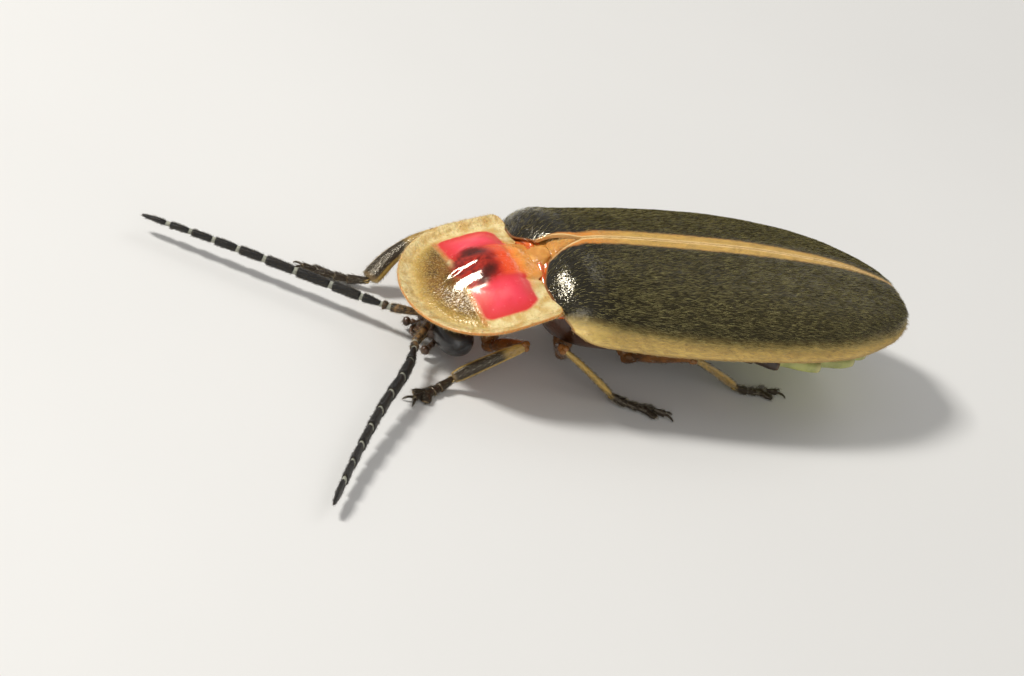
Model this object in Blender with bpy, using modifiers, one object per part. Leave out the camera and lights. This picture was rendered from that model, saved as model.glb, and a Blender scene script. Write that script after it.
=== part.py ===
"""A life-size firefly beetle standing still: head turned down under a broad shield, wing covers closed.

Every size is in millimetres and is turned into metres when a mesh is placed. In the beetle's own
frame x runs from head to tail, y from its left side to its right and z up from the floor. The last
step sets the middle of the model's footprint on the origin.
"""
from math import atan2, cos, pi, radians, sin, sqrt

import bmesh
import bpy
from mathutils import Matrix, Vector

MM = 0.001
WELD = 0.004 * MM               # corners closer than this after a union become one

# Driving sizes
GAP = 0.26                      # clear space between pieces that touch in life
COVER_LENGTH = 9.58             # a wing cover, from shoulder to tip
COVER_HALF_WIDTH = 2.50         # half of the closed pair at its widest
COVER_HEIGHT = 1.33             # of the seam over the side rim
COVER_THICK = 0.50
RIM_LEVEL = 1.70                # side rim of the wing covers, over the floor
SHIELD_LENGTH = 2.92            # pronotum, along its own slope
SHIELD_HALF_WIDTH = 2.00
SHIELD_STRAIGHT = 0.41          # share of the shield's length with straight sides
SHIELD_PITCH = radians(21.7)
SHIELD_HINGE = (-0.27, 2.18)    # x and z of the middle of its hind edge's plane
SHIELD_THICK = 0.36
SHIELD_EDGE_THICK = 0.24
SCUTELLUM_LENGTH = 0.80
SCUTELLUM_HALF_WIDTH = 0.34
SCUTELLUM_START = SHIELD_HINGE[0] + GAP + 0.02
SCUTELLUM_LEVEL = (2.47, 2.77)  # of its upper face at the front and at the tip, over the floor
SCUTELLUM_THICK = 0.40
PROTHORAX_CENTRE = Vector((-0.94, 0.0, 1.48))
PROTHORAX_HALF = Vector((0.55, 0.98, 0.50))
HEAD_CENTRE = Vector((-1.86, 0.0, 0.68))
HEAD_HALF = Vector((0.50, 0.46, 0.38))
EYE_HALF = Vector((0.40, 0.40, 0.35))
FEELER_LENGTHS = (0.72, 0.26, 0.60, 0.62, 0.62, 0.61, 0.60, 0.60, 0.58, 0.56, 0.72)
FEELER_WIDE = 0.25              # half width of the middle joints of a feeler
CHEST_SPAN = (0.12, 2.75)       # x of the middle and hind thorax, under the wing covers
CHEST_LEVEL = (1.02, 2.04)      # its underside and upper side, over the floor
CHEST_HALF_WIDTH = 1.60
BELLY_SPAN = (3.02, 5.45)       # x of the dark belly rings
LAMP_SPAN = (5.72, 7.75)        # x of the pale light-organ rings
TAIL_SPAN = (8.02, 8.85)        # x of the last ring
BELLY_HALF_WIDTH = 1.98
BELLY_LEVEL = (0.90, 1.62)      # underside and upper side of the belly, over the floor
THIGH_THICK = 0.28              # half thickness of the femur at its middle
SHIN_THICK = 0.245
TOE_THICK = 0.21
TOE_LEVEL = 0.10                # of the toes' middle line over the floor, less than they are thick

# Colours (linear), roughness and metallic
BLACK_SHELL = ((0.020, 0.018, 0.013, 1), 0.48)
CREAM_SHELL = ((0.62, 0.42, 0.17, 1), 0.40)
ORANGE_SKIN = ((0.50, 0.19, 0.05, 1), 0.45)
DARK_HORN = ((0.030, 0.019, 0.012, 1), 0.45)
BROWN_BELLY = ((0.060, 0.032, 0.018, 1), 0.50)
LAMP_SKIN = ((0.68, 0.66, 0.30, 1), 0.45)
TAN_LEG = ((0.30, 0.18, 0.07, 1), 0.45)
EYE_BLACK = ((0.008, 0.008, 0.010, 1), 0.18)


def along(stations, t):
    """Value at t on a smooth curve through (place, value) stations."""
    if t <= stations[0][0]:
        return stations[0][1]
    if t >= stations[-1][0]:
        return stations[-1][1]
    i = max(k for k in range(len(stations) - 1) if stations[k][0] <= t)
    (x0, y0), (x1, y1) = stations[i], stations[i + 1]
    before = stations[max(i - 1, 0)]
    after = stations[min(i + 2, len(stations) - 1)]
    slope0 = (y1 - before[1]) / (x1 - before[0])
    slope1 = (after[1] - y0) / (after[0] - x0)
    h = x1 - x0
    s = (t - x0) / h
    return (y0 * (1 + 2 * s) * (1 - s) ** 2 + slope0 * h * s * (1 - s) ** 2
            + y1 * s * s * (3 - 2 * s) + slope1 * h * s * s * (s - 1))


def smooth(low, high, value):
    """0 below low, 1 above high, and an S between."""
    s = min(max((value - low) / (high - low), 0.0), 1.0)
    return s * s * (3 - 2 * s)


def clear_scene():
    for obj in list(bpy.data.objects):
        bpy.data.objects.remove(obj)


def finish_material(name, look):
    colour, roughness = look
    material = bpy.data.materials.get(name)
    if material is None:
        material = bpy.data.materials.new(name)
        material.use_nodes = True
        shader = material.node_tree.nodes["Principled BSDF"]
        shader.inputs["Base Color"].default_value = colour
        shader.inputs["Roughness"].default_value = roughness
        shader.inputs["Metallic"].default_value = 0.0
    return material


def to_object(name, shape, collection):
    """A bmesh in millimetres becomes an object in metres."""
    bmesh.ops.recalc_face_normals(shape, faces=shape.faces)
    if shape.calc_volume(signed=True) < 0:
        bmesh.ops.reverse_faces(shape, faces=shape.faces)
    mesh = bpy.data.meshes.new(name)
    shape.to_mesh(mesh)
    shape.free()
    mesh.transform(Matrix.Scale(MM, 4))
    mesh.shade_smooth()
    mesh.set_sharp_from_angle(angle=radians(50))
    obj = bpy.data.objects.new(name, mesh)
    collection.objects.link(obj)
    return obj


def subdivide(obj, levels):
    modifier = obj.modifiers.new("Rounding", "SUBSURF")
    modifier.levels = levels
    modifier.render_levels = levels
    return obj


def slab(name, rows, columns, place, collection):
    """A sheet of rows x columns with two faces: place(row, column, side) gives a corner, side 1 on top."""
    shape = bmesh.new()
    bmesh.ops.create_grid(shape, x_segments=len(rows) - 1, y_segments=len(columns) - 1, size=1)
    top = list(shape.verts)
    extruded = bmesh.ops.extrude_face_region(shape, geom=list(shape.faces), use_keep_orig=True)
    bottom = [item for item in extruded["geom"] if isinstance(item, bmesh.types.BMVert)]
    for side, corners in ((1, top), (0, bottom)):
        for vert in corners:
            row = rows[round((vert.co.x + 1) / 2 * (len(rows) - 1))]
            column = columns[round((vert.co.y + 1) / 2 * (len(columns) - 1))]
            vert.co = place(row, column, side)
    return to_object(name, shape, collection)


def ball(name, segments, rings, place, collection):
    """A globe whose unit directions are moved by place(direction)."""
    shape = bmesh.new()
    bmesh.ops.create_uvsphere(shape, u_segments=segments, v_segments=rings, radius=1)
    for vert in shape.verts:
        vert.co = place(vert.co.normalized())
    return to_object(name, shape, collection)


def spindle(name, start, end, profile, collection, flat=1.0, across=None, segments=8):
    """A turned rod from start to end. profile holds (share of length, radius) rings; flat squeezes it
    square to across."""
    start, end = Vector(start), Vector(end)
    axis = (end - start).normalized()
    side = Vector(across) if across is not None else Vector((0, 0, 1)).cross(axis)
    side = (side - axis * side.dot(axis)).normalized()
    up = axis.cross(side)
    shape = bmesh.new()
    bmesh.ops.create_uvsphere(shape, u_segments=segments, v_segments=len(profile) + 1, radius=1)
    for vert in shape.verts:
        polar = atan2(sqrt(vert.co.x ** 2 + vert.co.y ** 2), -vert.co.z)
        ring = round(polar / pi * (len(profile) + 1)) - 1
        turn = atan2(vert.co.y, vert.co.x)
        if ring < 0:
            vert.co = start
        elif ring >= len(profile):
            vert.co = end
        else:
            share, radius = profile[ring]
            vert.co = (start.lerp(end, share) + side * radius * cos(turn)
                       + up * radius * flat * sin(turn))
    return to_object(name, shape, collection)


def largest_surface(mesh):
    """Keeps only the closed surface with the most faces."""
    shape = bmesh.new()
    shape.from_mesh(mesh)
    bmesh.ops.remove_doubles(shape, verts=shape.verts, dist=WELD)
    bmesh.ops.dissolve_degenerate(shape, edges=shape.edges, dist=WELD)
    bmesh.ops.triangulate(shape, faces=shape.faces)
    shape.faces.index_update()
    seen, best = set(), []
    for face in shape.faces:
        if face.index in seen:
            continue
        island, front = [], [face]
        seen.add(face.index)
        while front:
            here = front.pop()
            island.append(here)
            for edge in here.edges:
                for other in edge.link_faces:
                    if other.index not in seen:
                        seen.add(other.index)
                        front.append(other)
        best = max(best, island, key=len)
    kept = set(best)
    bmesh.ops.delete(shape, geom=[f for f in shape.faces if f not in kept], context="FACES")
    shape.to_mesh(mesh)
    shape.free()


def fuse(name, pieces, collection, sole=False):
    """Joins overlapping closed pieces into one body. With sole, what dips under the floor is cut flat."""
    first, others = pieces[0], pieces[1:]
    group = bpy.data.collections.new(name + " pieces")
    bpy.context.scene.collection.children.link(group)
    for piece in others:
        collection.objects.unlink(piece)
        group.objects.link(piece)
    union = first.modifiers.new("Join", "BOOLEAN")
    union.operation = "UNION"
    union.operand_type = "COLLECTION"
    union.collection = group
    union.solver = "MANIFOLD"
    floor = None
    if sole:
        block = bmesh.new()
        bmesh.ops.create_cube(block, size=40)
        bmesh.ops.translate(block, verts=block.verts, vec=(0, 0, -20))
        floor = to_object(name + " floor", block, collection)
        cut = first.modifiers.new("Sole", "BOOLEAN")
        cut.operation = "DIFFERENCE"
        cut.object = floor
        cut.solver = "MANIFOLD"
    graph = bpy.context.evaluated_depsgraph_get()
    mesh = bpy.data.meshes.new_from_object(first.evaluated_get(graph))
    largest_surface(mesh)
    mesh.shade_smooth()
    mesh.set_sharp_from_angle(angle=radians(50))
    for piece in [*pieces, floor]:
        if piece is not None:
            bpy.data.objects.remove(piece)
    bpy.data.collections.remove(group)
    obj = bpy.data.objects.new(name, mesh)
    collection.objects.link(obj)
    return obj


# Wing covers: each value runs along the cover, 0 at the shoulder and 1 at the tip
COVER_WIDTHS = ((0.0, 0.80), (0.04, 0.875), (0.12, 0.90), (0.25, 0.96), (0.42, 1.0), (0.60, 0.985),
                (0.74, 0.89), (0.85, 0.72), (0.93, 0.52), (0.98, 0.34), (1.0, 0.235))
COVER_SEAM_HEIGHTS = ((0.0, 0.70), (0.03, 0.86), (0.10, 0.96), (0.22, 1.0), (0.50, 0.97), (0.70, 0.86),
                      (0.82, 0.74), (0.92, 0.57), (1.0, 0.40))
COVER_RIM_HEIGHTS = ((0.0, 0.22), (0.15, 0.12), (0.50, 0.0), (0.80, 0.03), (0.93, 0.12), (1.0, 0.22))
COVER_SEAM_GAP = 0.145          # from the middle plane to a cover's inner edge
COVER_ROWS = (0.0, 0.035, 0.085, 0.15, 0.25, 0.36, 0.48, 0.60, 0.71, 0.80, 0.87, 0.93, 0.975, 1.0)
COVER_COLUMNS = (0.0, 0.07, 0.20, 0.40, 0.62, 0.84, 1.0)
COVER_SQUARENESS = 2.3          # 2 is a round arch, more is squarer
SEAM_BEAD = 0.05                # the seam stands up this much
RIM_GROOVE = 0.05               # the hollow inside the rolled side rim
COVER_LEAD = 0.11               # the rounded roots reach this much further forward


def cover_point(u, t):
    """A point on a wing cover's outer face: u runs to the tip, t from the seam to the side rim."""
    half = COVER_HALF_WIDTH * along(COVER_WIDTHS, u)
    inner = max(COVER_SEAM_GAP, scutellum_half_width(u * COVER_LENGTH - 0.12) + GAP)
    inner += 0.08 * smooth(0.95, 1.0, u)
    seam = COVER_HEIGHT * along(COVER_SEAM_HEIGHTS, u)
    rim = along(COVER_RIM_HEIGHTS, u)
    turn = t * pi / 2
    power = 2 / COVER_SQUARENESS
    bead = SEAM_BEAD * (1 - smooth(0.07, 0.20, t)) - RIM_GROOVE * smooth(0.6, 0.84, t) * (t < 0.9)
    y = inner + (half - inner) * sin(turn) ** power + bead * sin(turn)
    z = RIM_LEVEL + rim + (seam - rim) * cos(turn) ** power + bead * cos(turn)
    lead = COVER_LEAD * (1 - smooth(0.0, 0.05, u)) * (1 - 0.8 * t)
    return Vector((u * COVER_LENGTH - lead, y, z))


def wing_cover(name, side, collection):
    """side is 1 on the beetle's right and -1 on its left."""
    def place(u, t, top):
        point = cover_point(u, t)
        if not top:
            thick = COVER_THICK * (1 - 0.62 * smooth(0.80, 1.0, u))
            turn = t * pi / 2
            point -= Vector((0, sin(turn), cos(turn))) * thick
            point.x += 0.22 * (1 - smooth(0.0, 0.1, u)) - 0.20 * smooth(0.93, 1.0, u)
        return Vector((point.x, side * point.y, point.z))
    return subdivide(slab(name, COVER_ROWS, COVER_COLUMNS, place, collection), 1)


# Shield (pronotum): s runs forward from the hind edge along the slope, y across, h square to it
SHIELD_ROWS = (0.0, 0.12, 0.55, 1.00, 1.45, 1.90, 2.30, 2.62, 2.83, 2.92)
SHIELD_COLUMNS = (-1.0, -0.90, -0.68, -0.42, -0.17, 0.17, 0.42, 0.68, 0.90, 1.0)
SHIELD_DOME = 0.50
CUSHION_HEIGHT = 0.12
CUSHION_PLACE = (0.85, 0.92)    # s and y of each swollen side patch
CUSHION_SPREAD = 0.55
RIM_UPTURN = 0.06


def on_shield(s, y, h):
    """A place in the shield's own slope, as a point of the beetle."""
    return Vector((SHIELD_HINGE[0] - s * cos(SHIELD_PITCH) - h * sin(SHIELD_PITCH), y,
                   SHIELD_HINGE[1] - s * sin(SHIELD_PITCH) + h * cos(SHIELD_PITCH)))


def shield_half_width(s):
    straight = SHIELD_STRAIGHT * SHIELD_LENGTH
    if s <= straight:
        return SHIELD_HALF_WIDTH * (0.965 + 0.035 * s / straight)
    front = min((s - straight) / (SHIELD_LENGTH - straight), 0.985)
    return SHIELD_HALF_WIDTH * (1 - front ** 2.06) ** (1 / 2.06)


def shield_rise(s, y):
    """Height of the shield's upper face over its margin's plane."""
    reach = sqrt(((s - 0.95) / 1.60) ** 2 + (y / 1.50) ** 2)
    dome = SHIELD_DOME * (1 - smooth(0.0, 1.0, reach))
    cushion = sum(
        CUSHION_HEIGHT * max(0.0, 1 - ((s - CUSHION_PLACE[0]) ** 2
                                       + (y - side * CUSHION_PLACE[1]) ** 2) / CUSHION_SPREAD ** 2)
        for side in (-1, 1))
    edge = abs(y) / shield_half_width(s)
    return 0.06 + dome + cushion + RIM_UPTURN * smooth(0.85, 1.0, edge)


def shield_thickness(s, y):
    inward = min(1 - abs(y) / shield_half_width(s), (SHIELD_LENGTH - s) / SHIELD_LENGTH)
    return SHIELD_EDGE_THICK + (SHIELD_THICK - SHIELD_EDGE_THICK) * smooth(0.0, 0.35, inward)


def under_shield(x, y):
    """Height over the floor of the shield's underside over the place x, y."""
    s = (SHIELD_HINGE[0] - x) / cos(SHIELD_PITCH)
    rise = shield_rise(s, y) - shield_thickness(s, y)
    return SHIELD_HINGE[1] - s * sin(SHIELD_PITCH) + rise * cos(SHIELD_PITCH)


def shield(collection):
    def place(s, across, top):
        y = across * shield_half_width(s)
        rise = shield_rise(s, y) - (0 if top else shield_thickness(s, y))
        corner = 0.10 * smooth(0.75, 1.0, abs(across)) * (1 - smooth(0.0, 0.5, s))
        return on_shield(s - corner, y, rise)
    return subdivide(slab("pronotum", SHIELD_ROWS, SHIELD_COLUMNS, place, collection), 1)


def scutellum_half_width(x):
    """Half width of the small triangle between the wing covers' roots; nothing behind its tip."""
    share = (x - SCUTELLUM_START) / SCUTELLUM_LENGTH
    if share > 1:
        return -GAP
    return SCUTELLUM_HALF_WIDTH * (1 - 0.80 * max(share, 0.0) ** 1.4)


def scutellum(collection):
    """The small triangle, sloping up from the shield's hind edge."""
    def place(a, b, top):
        x = SCUTELLUM_START + SCUTELLUM_LENGTH * a
        low, high = SCUTELLUM_LEVEL
        z = low + (high - low) * a + 0.05 * (1 - b * b)
        return Vector((x, b * scutellum_half_width(x - 1e-6), z if top else z - SCUTELLUM_THICK))
    return slab("scutellum", (0.0, 0.12, 0.4, 0.7, 0.92, 1.0), (-1.0, -0.8, 0.0, 0.8, 1.0), place,
                collection)


def bounded(direction, centre, half, squareness):
    """A point on a rounded box of those half sizes, where squareness 2 is a plain egg."""
    total = sum(abs(d) ** squareness for d in direction) ** (1 / squareness)
    return Vector(c + h * d / total for c, h, d in zip(centre, half, direction))


def fore_chest(collection):
    """The prothorax's body, under the shield, that the front legs grow from."""
    def place(direction):
        point = bounded(direction, PROTHORAX_CENTRE, PROTHORAX_HALF, 2.6)
        point.z = max(point.z, PROTHORAX_CENTRE.z - 0.30 * (1 - 0.5 * abs(direction.x) ** 4))
        point.z = min(point.z, under_shield(point.x, point.y) - GAP - 0.12)
        return point
    return ball("prothorax", 16, 9, place, collection)


def hind_chest(collection):
    """The middle and hind thorax in one, that the four hind legs grow from."""
    low, high = CHEST_SPAN
    centre = Vector(((low + high) / 2, 0, sum(CHEST_LEVEL) / 2))
    half = Vector(((high - low) / 2, CHEST_HALF_WIDTH, (CHEST_LEVEL[1] - CHEST_LEVEL[0]) / 2))

    def place(direction):
        return bounded(direction, centre, half, 2.5)
    return ball("thorax", 20, 12, place, collection)


BELLY_WIDTHS = ((3.0, 0.57), (3.7, 0.62), (4.5, 0.80), (5.4, 0.97), (6.6, 0.97), (7.7, 0.80), (8.2, 0.66),
                (8.8, 0.46))


def belly_rings(name, span, rings, collection):
    """A stretch of belly whose rings step over one another."""
    low, high = span
    centre_z = sum(BELLY_LEVEL) / 2
    half_z = (BELLY_LEVEL[1] - BELLY_LEVEL[0]) / 2
    stations = 3 * rings + 1
    shape = bmesh.new()
    bmesh.ops.create_uvsphere(shape, u_segments=20, v_segments=stations + 1, radius=1)
    for vert in shape.verts:
        polar = atan2(sqrt(vert.co.x ** 2 + vert.co.y ** 2), -vert.co.z)
        ring = round(polar / pi * (stations + 1)) - 1
        turn = atan2(vert.co.y, vert.co.x)
        share = min(max(ring / (stations - 1), 0.0), 1.0)
        reach = along(BELLY_WIDTHS, low + (high - low) * share)
        step = 0.0
        if 0 <= ring < stations:
            step = (0.94, 1.0, 1.03)[ring % 3] * (1.0 if 0 < ring < stations - 1 else 0.86)
        wide = BELLY_HALF_WIDTH * reach * step
        tall = half_z * (0.55 + 0.45 * reach) * step
        x = low + (high - low) * share
        vert.co = (x, wide * cos(turn), centre_z + 0.10 * (1 - reach) + tall * sin(turn))
    return to_object(name, shape, collection)


def head(collection):
    """The head under the shield's front: its case, jaws and palps."""
    def case(direction):
        point = bounded(direction, HEAD_CENTRE, HEAD_HALF, 2.5)
        point.z -= 0.20 * smooth(-0.1, -0.6, point.x - HEAD_CENTRE.x)
        return point
    pieces = [ball("case", 16, 10, case, collection)]
    muzzle = HEAD_CENTRE + Vector((-0.40, 0, -0.27))
    pieces.append(spindle("muzzle", muzzle + Vector((0.25, 0, 0.10)), muzzle + Vector((-0.12, 0, -0.08)),
                          ((0.08, 0.16), (0.4, 0.26), (0.8, 0.22), (0.95, 0.12)), collection,
                          flat=0.55, across=(0, 1, 0)))
    for side in (-1, 1):
        jaw_root = muzzle + Vector((-0.02, side * 0.18, -0.01))
        jaw_bend = muzzle + Vector((-0.15, side * 0.20, -0.10))
        jaw_tip = muzzle + Vector((-0.27, side * 0.02, -0.17))
        pieces.append(spindle("jaw", jaw_root, jaw_bend, ((0.05, 0.10), (0.5, 0.10), (0.95, 0.08)),
                              collection, segments=6))
        pieces.append(spindle("jaw tip", jaw_bend + Vector((0.05, 0, 0.02)), jaw_tip,
                              ((0.1, 0.09), (0.5, 0.06), (0.9, 0.025)), collection, segments=6))
        palp_root = HEAD_CENTRE + Vector((-0.18, side * 0.26, -0.26))
        palp_bend = HEAD_CENTRE + Vector((-0.36, side * 0.44, -0.40))
        palp_tip = HEAD_CENTRE + Vector((-0.60, side * 0.58, -0.50))
        pieces.append(spindle("palp", palp_root, palp_bend, ((0.05, 0.10), (0.5, 0.12), (0.95, 0.12)),
                              collection, segments=6))
        pieces.append(spindle("palp tip", palp_bend + Vector((0.06, -0.02 * side, 0)), palp_tip,
                              ((0.08, 0.11), (0.45, 0.16), (0.75, 0.15), (0.95, 0.07)), collection,
                              segments=6))
    return fuse("head", pieces, collection)


def eye(name, side, collection):
    """A bulging eye, flat where it meets the head's side."""
    inner = HEAD_HALF.y + GAP + 0.05

    def place(direction):
        bulge = max(direction.y * side, 0.0)
        return Vector((HEAD_CENTRE.x - 0.05 + EYE_HALF.x * direction.x,
                       side * (inner + EYE_HALF.y * bulge + 0.02 * direction.y * side),
                       HEAD_CENTRE.z - 0.02 + EYE_HALF.z * direction.z))
    return ball(name, 16, 9, place, collection)


def feeler(name, course, collection):
    """An antenna of eleven joints strung along a smooth course of points."""
    total = sum(FEELER_LENGTHS)
    stations = [(i / (len(course) - 1), Vector(point)) for i, point in enumerate(course)]

    def spot(share):
        return Vector(along([(s, p[axis]) for s, p in stations], share) for axis in range(3))
    pieces = []
    reached = 0.0
    for number, length in enumerate(FEELER_LENGTHS):
        start, end = spot(reached / total), spot((reached + length) / total)
        reached += length
        thick = FEELER_WIDE * along(((0, 0.88), (0.2, 0.92), (0.5, 1.0), (0.8, 0.86), (1, 0.62)),
                                    number / 10)
        run = (end - start).normalized()
        if number == 10:
            profile = ((0.04, thick * 0.62), (0.25, thick), (0.7, thick * 0.85), (0.94, thick * 0.4))
        elif number == 1:
            profile = ((0.05, thick * 0.6), (0.45, thick * 0.86), (0.9, thick * 0.7))
        else:
            profile = ((0.04, thick * 0.58), (0.22, thick * 0.88), (0.82, thick), (0.96, thick * 0.7))
        tail = Vector((0, 0, 0)) if number == 10 else run * 0.10
        pieces.append(spindle("joint", start - run * (0.04 if number else 0), end + tail, profile,
                              collection, flat=0.88))
    return fuse(name, pieces, collection)


def leg(name, root, hip, knee, ankle, toe, thick, collection):
    """One leg: root is its coxa's top, then the bends down to the last toe joint's end on the floor."""
    root, hip, knee, ankle, toe = (Vector(p) for p in (root, hip, knee, ankle, toe))
    out = (knee - hip).normalized()
    shin_run = (ankle - knee).normalized()
    thigh = THIGH_THICK * thick
    shin = SHIN_THICK * thick
    pieces = [
        spindle("thigh", hip - out * 0.18, knee + out * 0.10,
                ((0.03, 0.15), (0.12, thigh * 0.72), (0.35, thigh), (0.65, thigh * 0.95),
                 (0.90, thigh * 0.68), (0.98, 0.12)), collection, flat=0.82, across=shin_run),
        spindle("hip", root, hip + (hip - root).normalized() * 0.16,
                ((0.04, 0.22), (0.4, 0.27), (0.8, 0.22), (0.97, 0.12)), collection),
        spindle("shin", knee - shin_run * 0.14, ankle + shin_run * 0.05,
                ((0.02, 0.11), (0.08, shin * 0.78), (0.30, shin * 0.92), (0.65, shin),
                 (0.93, shin * 1.06), (0.99, 0.13)), collection, flat=0.84, across=out),
    ]
    toe_run = toe - ankle
    flat_run = Vector((toe_run.x, toe_run.y, 0)).normalized()
    aside = Vector((0, 0, 1)).cross(flat_run)
    bends = []
    for share in (0.0, 0.30, 0.50, 0.66, 0.82, 1.0):
        bend = ankle.lerp(toe, share)
        bend.z = max(toe.z, ankle.z + (toe.z - ankle.z) * share / 0.30)
        bends.append(bend)
    for number, (start, end) in enumerate(zip(bends, bends[1:])):
        run = (end - start).normalized()
        wide = TOE_THICK * (0.90, 0.95, 1.0, 1.05, 0.72)[number]
        if number == 3:
            for lobe in (-1, 1):
                pieces.append(spindle("lobe", start - run * 0.05, end + aside * lobe * 0.17 + run * 0.10,
                                      ((0.06, wide * 0.6), (0.5, wide * 0.95), (0.92, wide * 0.7)),
                                      collection, flat=0.8, across=aside, segments=6))
        else:
            pieces.append(spindle("toe", start - run * 0.07, end + run * 0.05,
                                  ((0.05, wide * 0.62), (0.6, wide), (0.94, wide * 0.8)),
                                  collection, flat=0.85, across=aside, segments=6))
    for lobe in (-1, 1):
        claw = toe + flat_run * 0.26 + aside * lobe * 0.17
        claw.z = 0.03
        pieces.append(spindle("claw", toe - flat_run * 0.04, claw,
                              ((0.1, 0.10), (0.5, 0.08), (0.9, 0.035)), collection, segments=5))
    return fuse(name, pieces, collection, sole=True)


# Bends of the legs: coxa's top, hip, knee, ankle, end of the last toe joint
LEGS = {
    "leg_front_left": ((-0.98, -0.40, 0.82), (-1.00, -0.62, 0.48), (-0.83, -1.75, 1.28),
                       (-2.22, -1.62, 0.26), (-3.28, -2.16, TOE_LEVEL)),
    "leg_front_right": ((-0.98, 0.40, 0.82), (-1.00, 0.62, 0.48), (-1.37, 2.38, 1.38),
                        (-2.76, 2.00, 0.26), (-4.06, 2.62, TOE_LEVEL)),
    "leg_middle_left": ((0.86, -0.45, 0.66), (0.84, -0.68, 0.42), (0.00, -1.86, 1.32),
                        (1.58, -1.88, 0.24), (2.80, -2.32, TOE_LEVEL)),
    "leg_middle_right": ((0.86, 0.45, 0.66), (0.84, 0.68, 0.42), (0.28, 2.05, 1.24),
                         (1.84, 2.42, 0.24), (3.06, 2.86, TOE_LEVEL)),
    "leg_hind_left": ((2.36, -0.50, 0.68), (2.40, -0.78, 0.48), (3.36, -1.78, 1.22),
                      (5.06, -1.32, 0.24), (6.26, -1.28, TOE_LEVEL)),
    "leg_hind_right": ((2.36, 0.50, 0.68), (2.40, 0.78, 0.48), (3.36, 1.80, 1.18),
                       (5.06, 2.02, 0.24), (6.26, 2.40, TOE_LEVEL)),
}
LEG_THICK = {"front": 1.0, "middle": 0.97, "hind": 1.0}

FEELER_ROOT = HEAD_CENTRE + Vector((-HEAD_HALF.x - GAP, 0.26, -0.09))
FEELER_COURSES = {
    "antenna_right": ((FEELER_ROOT.x, FEELER_ROOT.y, FEELER_ROOT.z), (-3.48, 0.95, 0.50),
                      (-5.10, 2.12, 0.46), (-6.40, 3.02, 0.42), (-7.58, 3.82, 0.36)),
    "antenna_left": ((FEELER_ROOT.x, -FEELER_ROOT.y, FEELER_ROOT.z), (-3.40, -1.70, 0.62),
                     (-4.60, -3.15, 0.52), (-5.72, -4.62, 0.38), (-6.86, -6.22, 0.30)),
}


def paint(obj, name, look):
    obj.data.materials.clear()
    obj.data.materials.append(finish_material(name, look))


def stand_on_origin(objects):
    """Parents every piece to one empty, which sets the middle of the footprint on the origin."""
    graph = bpy.context.evaluated_depsgraph_get()
    corners = [obj.matrix_world @ Vector(corner)
               for obj in objects for corner in obj.evaluated_get(graph).bound_box]
    low = Vector(min(c[axis] for c in corners) for axis in range(3))
    high = Vector(max(c[axis] for c in corners) for axis in range(3))
    carrier = bpy.data.objects.new("firefly", None)
    bpy.context.scene.collection.objects.link(carrier)
    carrier.location = (-(low.x + high.x) / 2, -(low.y + high.y) / 2, -low.z)
    for obj in objects:
        obj.parent = carrier


def main():
    clear_scene()
    parts = bpy.data.collections.new("Firefly")
    bpy.context.scene.collection.children.link(parts)
    painted = [
        (wing_cover("elytron_left", -1, parts), "elytra", BLACK_SHELL),
        (wing_cover("elytron_right", 1, parts), "elytra", BLACK_SHELL),
        (shield(parts), "pronotum", CREAM_SHELL),
        (scutellum(parts), "scutellum", ORANGE_SKIN),
        (fore_chest(parts), "thorax", ORANGE_SKIN),
        (hind_chest(parts), "thorax", ORANGE_SKIN),
        (belly_rings("abdomen", BELLY_SPAN, 4, parts), "abdomen", BROWN_BELLY),
        (belly_rings("lantern", LAMP_SPAN, 2, parts), "lantern", LAMP_SKIN),
        (belly_rings("tail_segment", TAIL_SPAN, 1, parts), "lantern", LAMP_SKIN),
        (head(parts), "head", DARK_HORN),
        (eye("eye_left", -1, parts), "eyes", EYE_BLACK),
        (eye("eye_right", 1, parts), "eyes", EYE_BLACK),
    ]
    for name, course in FEELER_COURSES.items():
        painted.append((feeler(name, course, parts), "antennae", DARK_HORN))
    for name, bends in LEGS.items():
        thick = LEG_THICK[name.split("_")[1]]
        painted.append((leg(name, *bends, thick, parts), "legs", TAN_LEG))
    for obj, material_name, look in painted:
        paint(obj, material_name, look)
    stand_on_origin([obj for obj, _, _ in painted])


main()
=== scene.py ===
"""A life-size firefly beetle, still, on a plain pale floor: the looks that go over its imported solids.

Laid out as an add-on, and run as a script. Lengths inside the shape functions are millimetres in the
beetle's own frame: x from head to tail, y from its left side to its right, z up from the floor.
"""

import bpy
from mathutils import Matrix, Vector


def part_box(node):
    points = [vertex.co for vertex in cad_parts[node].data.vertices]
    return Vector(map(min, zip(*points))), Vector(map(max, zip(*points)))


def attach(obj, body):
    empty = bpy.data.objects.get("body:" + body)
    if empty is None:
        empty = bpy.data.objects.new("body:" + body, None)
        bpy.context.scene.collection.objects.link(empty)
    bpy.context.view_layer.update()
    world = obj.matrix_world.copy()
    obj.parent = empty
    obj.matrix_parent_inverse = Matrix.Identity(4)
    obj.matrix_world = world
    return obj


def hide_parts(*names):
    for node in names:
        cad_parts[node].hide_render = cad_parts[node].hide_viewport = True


bl_info = {
    "name": "Firefly model",
    "version": (1, 0, 0),
    "blender": (4, 5, 0),
    "location": "View3D > Sidebar > Firefly",
    "description": "Builds the finished surfaces of a still, life-size firefly beetle",
    "category": "Object",
}

from math import cos, pi, radians, sin

import bpy
import numpy as np
from bpy.props import FloatProperty, FloatVectorProperty, IntProperty, PointerProperty
from bpy.types import Operator, Panel, PropertyGroup
from mathutils import Matrix, Vector

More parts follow.
